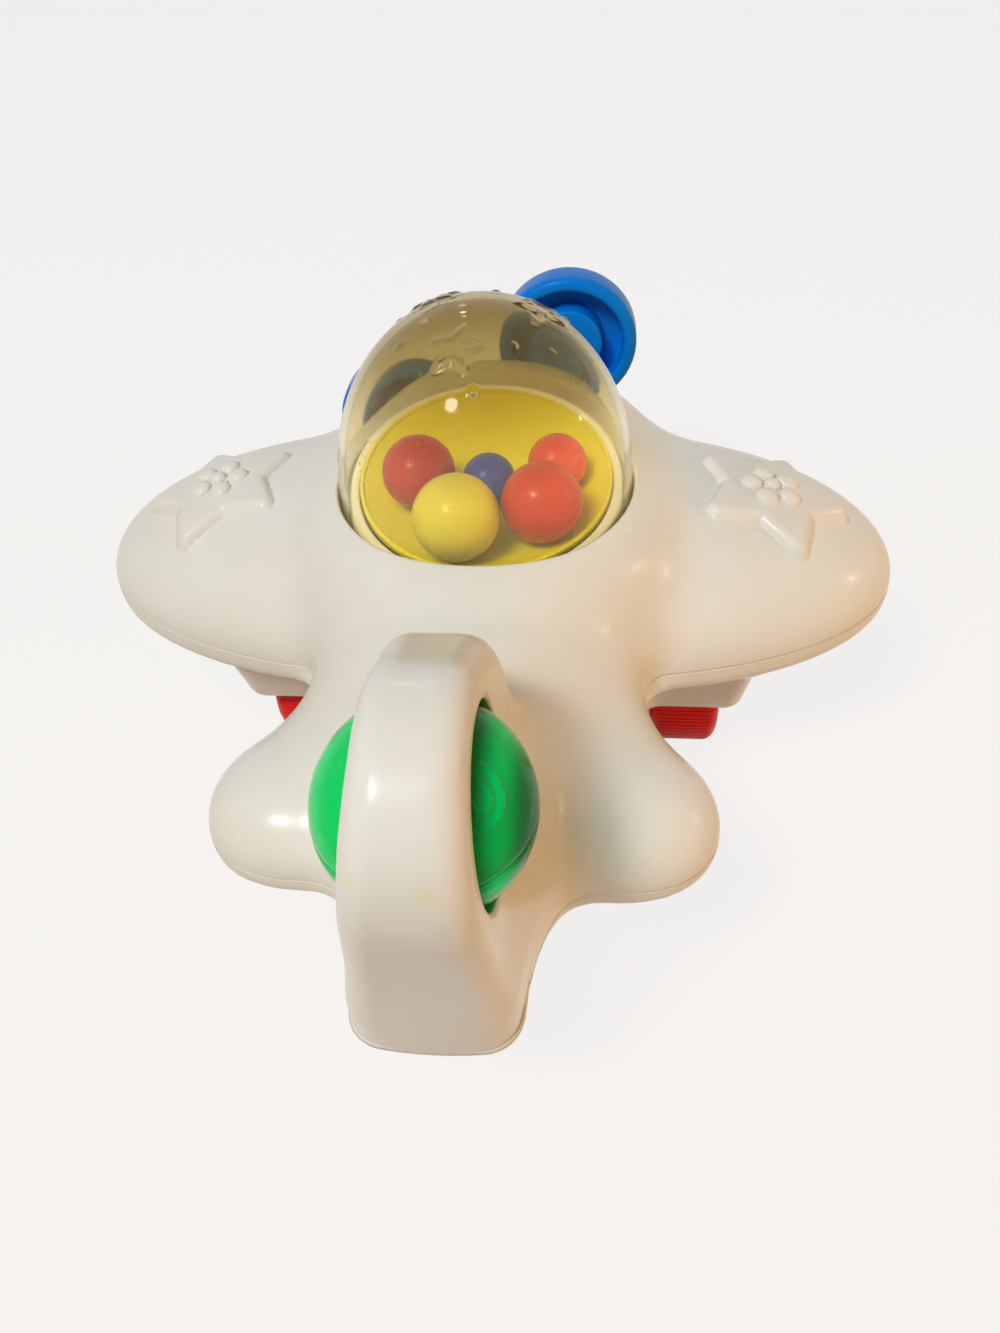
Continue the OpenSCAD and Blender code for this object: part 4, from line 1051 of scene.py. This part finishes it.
class ToyBalls(Operator):
    """Makes the five loose balls"""
    bl_idname = "toy.balls"
    bl_label = "Loose Balls"

    def execute(self, context):
        s = settings(context, "popper")
        for k, kind in enumerate(("yellow", "orange", "dark_red", "pink", "blue")):
            node = "ball_" + kind
            low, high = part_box(node)
            middle, r = (low + high) / 2 / MM, (high.x - low.x) / 2 / MM
            look = plastic(kind.replace("_", " ").title() + " Ball", getattr(s, kind), rough=0.23, scratches=0.4,
                           grain=0.03, size=1.3, shine=0.4)
            line = []
            for x, y in arc(1, -QUARTER, QUARTER, 72):
                t = math.atan2(y, x)
                away = r - 0.04 * math.exp(-(t * r / 0.5) ** 2) - 0.15 * math.exp(-((t + QUARTER) * r / 0.9) ** 2)
                line.append((away * x, away * y))
            turn = Euler((0.5 + 0.9 * k, 0.7 * k - 0.4, 0.3 * k)).to_matrix().to_4x4()
            ball = piece("moulded_" + node, place(lathe(line, 64, closed=False), turn, middle), sharp=60)
            finish(ball, node, node, look, node)
        return {"FINISHED"}


class ToyFinBall(Operator):
    """Makes the clear rattle ball in the fin, with its beads and pins"""
    bl_idname = "toy.fin_ball"
    bl_label = "Rattle Ball"

    def execute(self, context):
        s = settings(context, "gear")
        # Painted shade on the ball's +X side, from x -4 to 8 mm, with a strip of painted light at x 13.4 mm for light
        # focused through the ball
        green = clear_plastic("Green Clear Plastic", s.ball, s.ball_deep, -4, 8, rough=0.06, lamp=0.58, ior=1.16,
                              clear=0.62, axis="X", painted_light_band=13.4)
        centre, inner = (0, FIN_Y, SEAM + FIN_UP), BALL_R - 1.6
        line = []
        for x, y in arc(1, math.radians(0.35), math.radians(85.4), 40):
            away = BALL_R - 0.25 * math.exp(-(math.atan2(y, x) * BALL_R / 0.5) ** 2)
            line.append((away * x, away * y))
        bore, boss, deep = 1.57, 4.0, BALL_R - 5.0
        line += [(bore, BALL_R - 0.1), (bore, deep), (boss, deep), (boss, BALL_R - 2.1)]
        line += arc(inner, math.asin((BALL_R - 2.2) / inner), 0.006, 32)[1:]
        for node, turn in (("rattle_ball_upper", (1, 1, 1, 1)), ("rattle_ball_lower", (1, -1, -1, 1))):
            bm = lathe(line, 160)
            for v in bm.verts:
                if v.co.length > BALL_R - 0.7 and v.co.z < BALL_R - 2:
                    v.co *= 1 + self.curl(math.atan2(v.co.y, v.co.x), math.asin(v.co.z / v.co.length)) / BALL_R
            ob = piece("clear_" + node, place(bm, Matrix.Diagonal(turn), centre), sharp=40)
            finish(ob, "rattle_ball", "green_clear", green, node)
        repaint(steel("Pin Steel", (0.66, 0.65, 0.62), 0.25, (700, 700, 40)), "rattle_ball_pins")
        bead_look = plastic("Bead Yellow", paint(232, 200, 40), paint(200, 160, 30), size=2.0)
        bead = lathe(arc(2.2, -QUARTER, QUARTER, 16), 24, closed=False)
        bead = piece("bead", place(bead, (9, 0, -math.sqrt((inner - 2.3) ** 2 - 9 ** 2))), sharp=60)
        beads = grown("loose_beads", dots("bead_carrier", []), ring_tree(), spare=[bead], Piece=bead, Count=s.beads,
                      Centre=tuple(c * MM for c in centre), Finish=bead_look)
        finish(beads, "rattle_ball", "yellow_plastic", None, "rattle_beads")
        return {"FINISHED"}

    @staticmethod
    def curl(turn, lift):
        """Height of the moulded curl, a flat spiral, at a place on the ball."""
        x = ((turn + 0.75 + math.pi) % math.tau - math.pi) * BALL_R * math.cos(lift)
        y = (lift - 0.74) * BALL_R
        r, pitch = math.hypot(x, y), 2.64
        if r >= 6.2:
            return 0.0
        rest = (r - pitch / math.tau * (math.atan2(y, x) % math.tau)) % pitch
        return 0.55 * max(0, 1 - (min(rest, pitch - rest) / 0.62) ** 2)


class ToyPropeller(Operator):
    """Makes the lobed propeller, its cap and its bearing"""
    bl_idname = "toy.propeller"
    bl_label = "Propeller"

    def execute(self, context):
        s = settings(context, "propeller")
        blue = plastic("Propeller Blue", s.body, 0.86, rough=0.28, mottle=0.25, scratches=0.5, grain=0.1, shine=0.14)
        dip, half, wall, cup = 4.5, LOBE_R * 0.5, LOBE_R - 4, 8.6
        lobe = fillet([(0, 3), (dip, 3), (dip, 1), (half, 1), (half, cup), (wall, cup), (wall, 0), (LOBE_R, 0),
                       (LOBE_R, PROP_T), (0, PROP_T)],
                      {1: 0.4, 2: 0.8, 3: 0.9, 4: 0.6, 5: 0.6, 6: 1.2, 7: 2.4, 8: 5.0}, 7)
        lobe = piece("lobe", place(lathe(lobe, 112), (LOBE_OUT, 0, 0)),
                     block((2, -9, 2), (LOBE_OUT - LOBE_R + 3, 9, 10), 1.6, 4))
        lobe.data.transform(TO_Y)
        bore, boss, face = 3.01, 11, PROP_T - 1.5
        hub = fillet([(bore, 0), (boss, 0), (boss, face), (bore, face)], {0: 0.3, 1: 1.2, 2: 1.4, 3: 0.3}, 4)
        hub = piece("hub", place(lathe(hub, 64), TO_Y, (0, PROP_Y, PROP_Z)))
        ob = grown("lobed_propeller", hub, ring_tree(), spare=[lobe], Piece=lobe, Count=s.lobes,
                   Turn=(0, math.tau, 0), Start=(0, math.radians(-90 + PROP_TURN), 0),
                   Centre=(0, PROP_Y * MM, PROP_Z * MM), Finish=blue)
        finish(ob, "propeller", "blue_plastic", None, "propeller")
        yellow = plastic("Cap Yellow", s.cap, 0.85, rough=0.28, coat=0.2)
        cap = [(0, 0)] + [(r, 0.4 + 3.1 / 9 * h) for r, h in arc(9, 0, QUARTER, 12)]
        cap = piece("propeller_dome_cap", place(lathe(cap, 64), TO_Y, (0, PROP_Y + face, PROP_Z)))
        finish(cap, "propeller", "yellow_plastic", yellow, "propeller_cap")
        repaint(steel("Shaft Steel", (0.68, 0.67, 0.65), 0.22, (600, 60, 600)), "propeller_shaft")
        repaint(steel("Clip Steel", (0.5, 0.5, 0.5), 0.3, (400, 400, 400)), "shaft_clip")
        repaint(plastic("Bush Cream", CREAM, CREAM_WORN, rough=0.4), "propeller_bush")
        return {"FINISHED"}


class ToyWheels(Operator):
    """Makes the ribbed wheels, the tail wheel and their axles"""
    bl_idname = "toy.wheels"
    bl_label = "Wheels"

    def execute(self, context):
        s = settings(context, "gear")
        red = plastic("Wheel Red", s.wheel, 0.62, rough=0.33, mottle=0.5, scratches=0.7, grain=0.2)
        half, tread, rim, boss = WHEEL_W / 2, WHEEL_R - 0.3, WHEEL_R - 5, 6
        line = fillet([(WHEEL_BORE, -half), (tread, -half), (tread, half), (rim, half), (rim, half - 4),
                       (boss, half - 4), (boss, half), (WHEEL_BORE, half)],
                      {0: 0.3, 1: 3.4, 2: 3.4, 3: 0.7, 4: 0.8, 5: 0.6, 6: 0.5, 7: 0.3}, 6)
        for side, node in ((-1, "wheel_left"), (1, "wheel_right")):
            turn = Matrix.Rotation(side * QUARTER, 4, "Y")
            centre = Vector((side * (TRACK / 2 - half), AXLE_Y, WHEEL_R))
            drum = piece("drum", place(lathe(line, 96), turn, centre))
            rib = piece("rib", place(self.rib(half - 0.35), turn), sharp=50)
            ob = grown("ribbed_" + node, drum, ring_tree(), spare=[rib], Piece=rib, Count=s.ribs,
                       Turn=(math.tau, 0, 0), Centre=tuple(centre * MM), Finish=red)
            finish(ob, "wheelset", "red_plastic", None, node)
        half, rim, boss, deep = TAIL_W / 2, TAIL_R - 4, 5, TAIL_W / 2 - 1.4
        line = fillet([(TAIL_BORE, -half), (TAIL_R, -half), (TAIL_R, half), (rim, half), (rim - 0.6, deep),
                       (boss + 0.6, deep), (boss, half), (TAIL_BORE, half)],
                      {0: 0.3, 1: 3, 2: 3, 3: 0.5, 4: 0.5, 5: 0.5, 6: 0.4, 7: 0.3}, 6)
        wheel = piece("turned_tail_wheel", place(lathe(line, 96), TO_X, (0, TAIL_Y, TAIL_R)))
        finish(wheel, "tail_wheel", "red_plastic", red, "tail_wheel")
        axle = steel("Axle Steel", (0.66, 0.65, 0.63), 0.24, (60, 700, 700))
        repaint(axle, "main_axle", "tail_axle")
        cap_r, cap_t = 4.2, 1.2
        line = fillet([(WHEEL_BORE, 0), (cap_r, 0), (cap_r, cap_t), (WHEEL_BORE, cap_t)], {1: 0.25, 2: 0.5}, 4)
        caps = [place(lathe(line, 48), Matrix.Rotation(side * QUARTER, 4, "Y"),
                      (side * (TRACK / 2 + 0.2), AXLE_Y, WHEEL_R)) for side in (-1, 1)]
        finish(piece("pressed_axle_caps", *caps), "wheelset", "axle_steel", axle, "axle_caps")
        repaint(plastic("Axle Bush Cream", CREAM, CREAM_WORN, rough=0.4), "axle_bushes")
        repaint(red, "flicker_hub")
        repaint(plastic("Finger Rubber", paint(92, 92, 90), paint(70, 70, 70), rough=0.6, grain=0.6),
                "flicker_fingers")
        repaint(plastic("Guide Cream", CREAM, paint(184, 176, 160), rough=0.4), "stem_guide")
        return {"FINISHED"}

    @staticmethod
    def rib(half):
        """One rib across the tread, thinner where it runs down the wheel's edges."""
        bm = bmesh.new()
        rows = []
        for r, h in fillet([(WHEEL_R - 3.4, -half), (WHEEL_R, -half), (WHEEL_R, half), (WHEEL_R - 3.4, half)],
                           {1: 3.35, 2: 3.35}, 6):
            top = r - (0 if r > WHEEL_R - 2.6 else 0.24)
            rows.append([bm.verts.new((a, w, h)) for a, w in ((r - 0.7, -0.62), (r - 0.7, 0.62), (top, 0.3),
                                                              (top, -0.3))])
        for one, two in zip(rows, rows[1:]):
            bridge(bm, one, two)
        bm.faces.new(rows[0][::-1])
        bm.faces.new(rows[-1])
        bmesh.ops.recalc_face_normals(bm, faces=bm.faces)
        return bm


class ToyScrews(Operator):
    """Makes all the screws"""
    bl_idname = "toy.screws"
    bl_label = "Screws"

    def execute(self, context):
        look = steel("Screw Steel", (0.60, 0.59, 0.56), 0.28, (300, 300, 900))
        turns = [math.radians(45 + 90 * i) for i in range(4)]
        for node, spots, head_r, head_t, shank_r, long in (
                ("shell_screws", [(*post, post_foot(*post) + SCREW_SINK - SCREW_SEAT) for post in POSTS],
                 2.8, 2.2, 1.5, None),
                ("dome_screws", [(DOME_SCREW_R * math.cos(a), DOME_Y + DOME_SCREW_R * math.sin(a), FLANGE_Z - 3)
                                 for a in turns], 2.3, 1.6, 1.2, 8.0),
                ("guide_screws", [(*leg, LEG_Z - SCREW_SEAT) for leg in LEGS], 2.6, 1.5, 1.3, 9.0)):
            levels = {}
            for spot in spots:
                levels.setdefault(round(spot[2], 2), []).append(spot)
            bm = bmesh.new()
            for group in levels.values():
                one = self.screw(head_r, head_t, shank_r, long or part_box(node)[1].z / MM - group[0][2])
                part = grown("screws", dots("places", group), scatter_tree(), spare=[one], Piece=one, Turn=1.5,
                             Seed=4, Finish=look)
                bm.from_mesh(part.data)
            me = bpy.data.meshes.new("cross_" + node)
            bm.to_mesh(me)
            bm.free()
            me.set_sharp_from_angle(angle=math.radians(35))
            finish(bpy.data.objects.new("cross_" + node, me), "airframe", "screw_steel", look, node)
        return {"FINISHED"}

    @staticmethod
    def screw(head_r, head_t, shank_r, reach):
        """A cross recessed screw that points up, its head's seat at the origin."""
        bm = bmesh.new()
        sides, pitch = 24, 0.9
        arm, wide = head_r * 0.62, head_r * 0.16
        rows = [ring(bm, head_r * a, -head_t * b, sides) for a, b in ((1, 0), (1, 0.55), (0.9, 0.85), (0.72, 1))]
        for one, two in zip(rows, rows[1:]):
            bridge(bm, one, two)
        cross = []
        for q in range(4):
            c, n = math.cos(QUARTER * q), math.sin(QUARTER * q)
            cross += [(a * c - b * n, a * n + b * c) for a, b in ((arm, -wide), (arm, wide), (wide, wide))]
        lip = [bm.verts.new((x, y, -head_t)) for x, y in cross]
        deep = [bm.verts.new((x * 0.72, y * 0.72, -head_t * 0.35)) for x, y in cross]
        edges = [bm.edges.new((lip[i - 1], lip[i])) for i in range(len(lip))]
        edges += [bm.edges.get((rows[-1][i - 1], rows[-1][i])) for i in range(sides)]
        bmesh.ops.triangle_fill(bm, use_beauty=True, edges=edges)
        bridge(bm, lip, deep)
        bm.faces.new(deep)
        last, z = rows[0], 0.0
        while z < reach - 0.6:
            for r, up in ((shank_r, 0.0), (shank_r * 0.82, 0.35)):
                thread = ring(bm, r, z + up, sides)
                bridge(bm, last, thread)
                last = thread
            z += pitch
        bm.faces.new(last)
        bmesh.ops.recalc_face_normals(bm, faces=bm.faces)
        return piece("screw", bm)


class ToyStage(Operator):
    """Makes the floor, the lamps, the world and the camera"""
    bl_idname = "toy.stage"
    bl_label = "Stage"

    def execute(self, context):
        s = settings(context, "stage")
        scene = context.scene
        me = bpy.data.meshes.new("floor")
        me.from_pydata([(-6, -6, -0.0002), (6, -6, -0.0002), (6, 6, -0.0002), (-6, 6, -0.0002)], [], [(0, 1, 2, 3)])
        floor = bpy.data.objects.new("floor", me)
        scene.collection.objects.link(floor)
        look, tree, shader = blank("Pale Floor")
        feed(tree, shader, {"Base Color": (*s.floor, 1), "Roughness": 0.9, "Specular IOR Level": 0.1})
        # The camera sees the floor nearly white, and the toy is lit by the floor's own colour
        glow = put(tree, "ShaderNodeEmission", {0: WHITE, 1: 1.0})
        surface(tree, calc(tree, "MULTIPLY", seen(tree), 0.84), shader.outputs[0], glow.outputs[0])
        me.materials.append(look)
        world = bpy.data.worlds.new("Studio")
        world.use_nodes = True
        scene.world = world
        tree = world.node_tree
        soft = tree.nodes["Background"]
        feed(tree, soft, {0: (1.0, 0.96, 0.90, 1), 1: s.sky})
        plain = put(tree, "ShaderNodeBackground", {0: WHITE, 1: 1.0})
        surface(tree, seen(tree), soft.outputs[0], plain.outputs[0], "World Output")
        self.lamp("key", (-0.30, -0.59, 1.02), s.key, 0.45, (0.96, 0.98, 1.0), False)
        self.lamp("glint", (-0.40, -0.60, 1.02), s.key * 0.42, 0.2, (1.0, 1.0, 1.0), True)
        self.lamp("window", (-0.20, 0.85, 0.72), s.key * 0.018, 0.05, (1.0, 0.97, 0.90), True)
        self.lamp("warm", (0.85, -0.12, 0.13), s.fill, 0.24, (1.0, 0.54, 0.15), False)
        self.lamp("spark", (0.80, 0.10, 0.30), s.fill * 0.06, 0.04, (1.0, 0.84, 0.60), True)
        self.camera(scene)
        return {"FINISHED"}

    @staticmethod
    def lamp(name, spot, power, size, tone, mirrored):
        """A round lamp that points at the toy; only a mirrored one shows in shiny or clear pieces."""
        data = bpy.data.lights.new(name, "AREA")
        data.shape, data.size, data.energy, data.color = "DISK", size, power, tone
        ob = bpy.data.objects.new(name, data)
        ob.location = spot
        ob.rotation_euler = (Vector((0, 0, 0.05)) - Vector(spot)).to_track_quat("-Z", "Y").to_euler()
        ob.visible_glossy = ob.visible_transmission = mirrored
        bpy.context.scene.collection.objects.link(ob)

    @staticmethod
    def camera(scene):
        """Camera at the photograph's place and angle."""
        turn, fall, roll = (math.radians(a) for a in (CAMERA_TURN, CAMERA_FALL, CAMERA_ROLL))
        back = Vector((math.sin(turn) * math.cos(fall), -math.cos(turn) * math.cos(fall), math.sin(fall)))
        right = Vector((math.cos(turn), math.sin(turn), 0))
        up = back.cross(right)
        side = right * math.cos(roll) + up * math.sin(roll)
        top = -right * math.sin(roll) + up * math.cos(roll)
        data = bpy.data.cameras.new("camera")
        data.sensor_fit, data.sensor_height, data.sensor_width = "VERTICAL", SENSOR, SENSOR
        data.lens, data.clip_start = FOCAL / PICTURE_H * SENSOR, 0.01
        ob = bpy.data.objects.new("camera", data)
        ob.matrix_world = Matrix.Translation(Vector(CAMERA_SPOT) * MM) @ Matrix(
            (side, top, back)).transposed().to_4x4()
        scene.collection.objects.link(ob)
        scene.camera = ob
        scene.view_settings.view_transform = "Standard"


STEPS = (ToyShells, ToyDome, ToyPopper, ToyBalls, ToyFinBall, ToyPropeller, ToyWheels, ToyScrews, ToyStage)
GROUPS = {"shells": ToyShellSettings, "dome": ToyDomeSettings, "popper": ToyPopperSettings,
          "propeller": ToyPropellerSettings, "gear": ToyGearSettings, "stage": ToyStageSettings}


class ToyPanel(Panel):
    """Lists the toy's pieces and their sizes"""
    bl_idname = "VIEW3D_PT_toy_airplane"
    bl_label = "Toy Airplane"
    bl_space_type = "VIEW_3D"
    bl_region_type = "UI"
    bl_category = "Toy Airplane"

    def draw(self, context):
        for step in STEPS:
            self.layout.operator(step.bl_idname, text=step.bl_label)
        for key, group in GROUPS.items():
            box = self.layout.box()
            box.label(text=key.title())
            for name in group.__annotations__:
                box.prop(settings(context, key), name)


def register():
    """Adds the toy's settings, operators and panel."""
    for made in (*GROUPS.values(), *STEPS, ToyPanel):
        bpy.utils.register_class(made)
    for key, group in GROUPS.items():
        setattr(bpy.types.Scene, "toy_" + key, PointerProperty(type=group))


def unregister():
    """Takes them out again."""
    for key in GROUPS:
        delattr(bpy.types.Scene, "toy_" + key)
    for made in (ToyPanel, *STEPS[::-1], *GROUPS.values()):
        bpy.utils.unregister_class(made)


def main():
    """Builds the whole toy."""
    register()
    for step in STEPS:
        area, name = step.bl_idname.split(".")
        getattr(getattr(bpy.ops, area), name)()


if __name__ == "__main__":
    main()
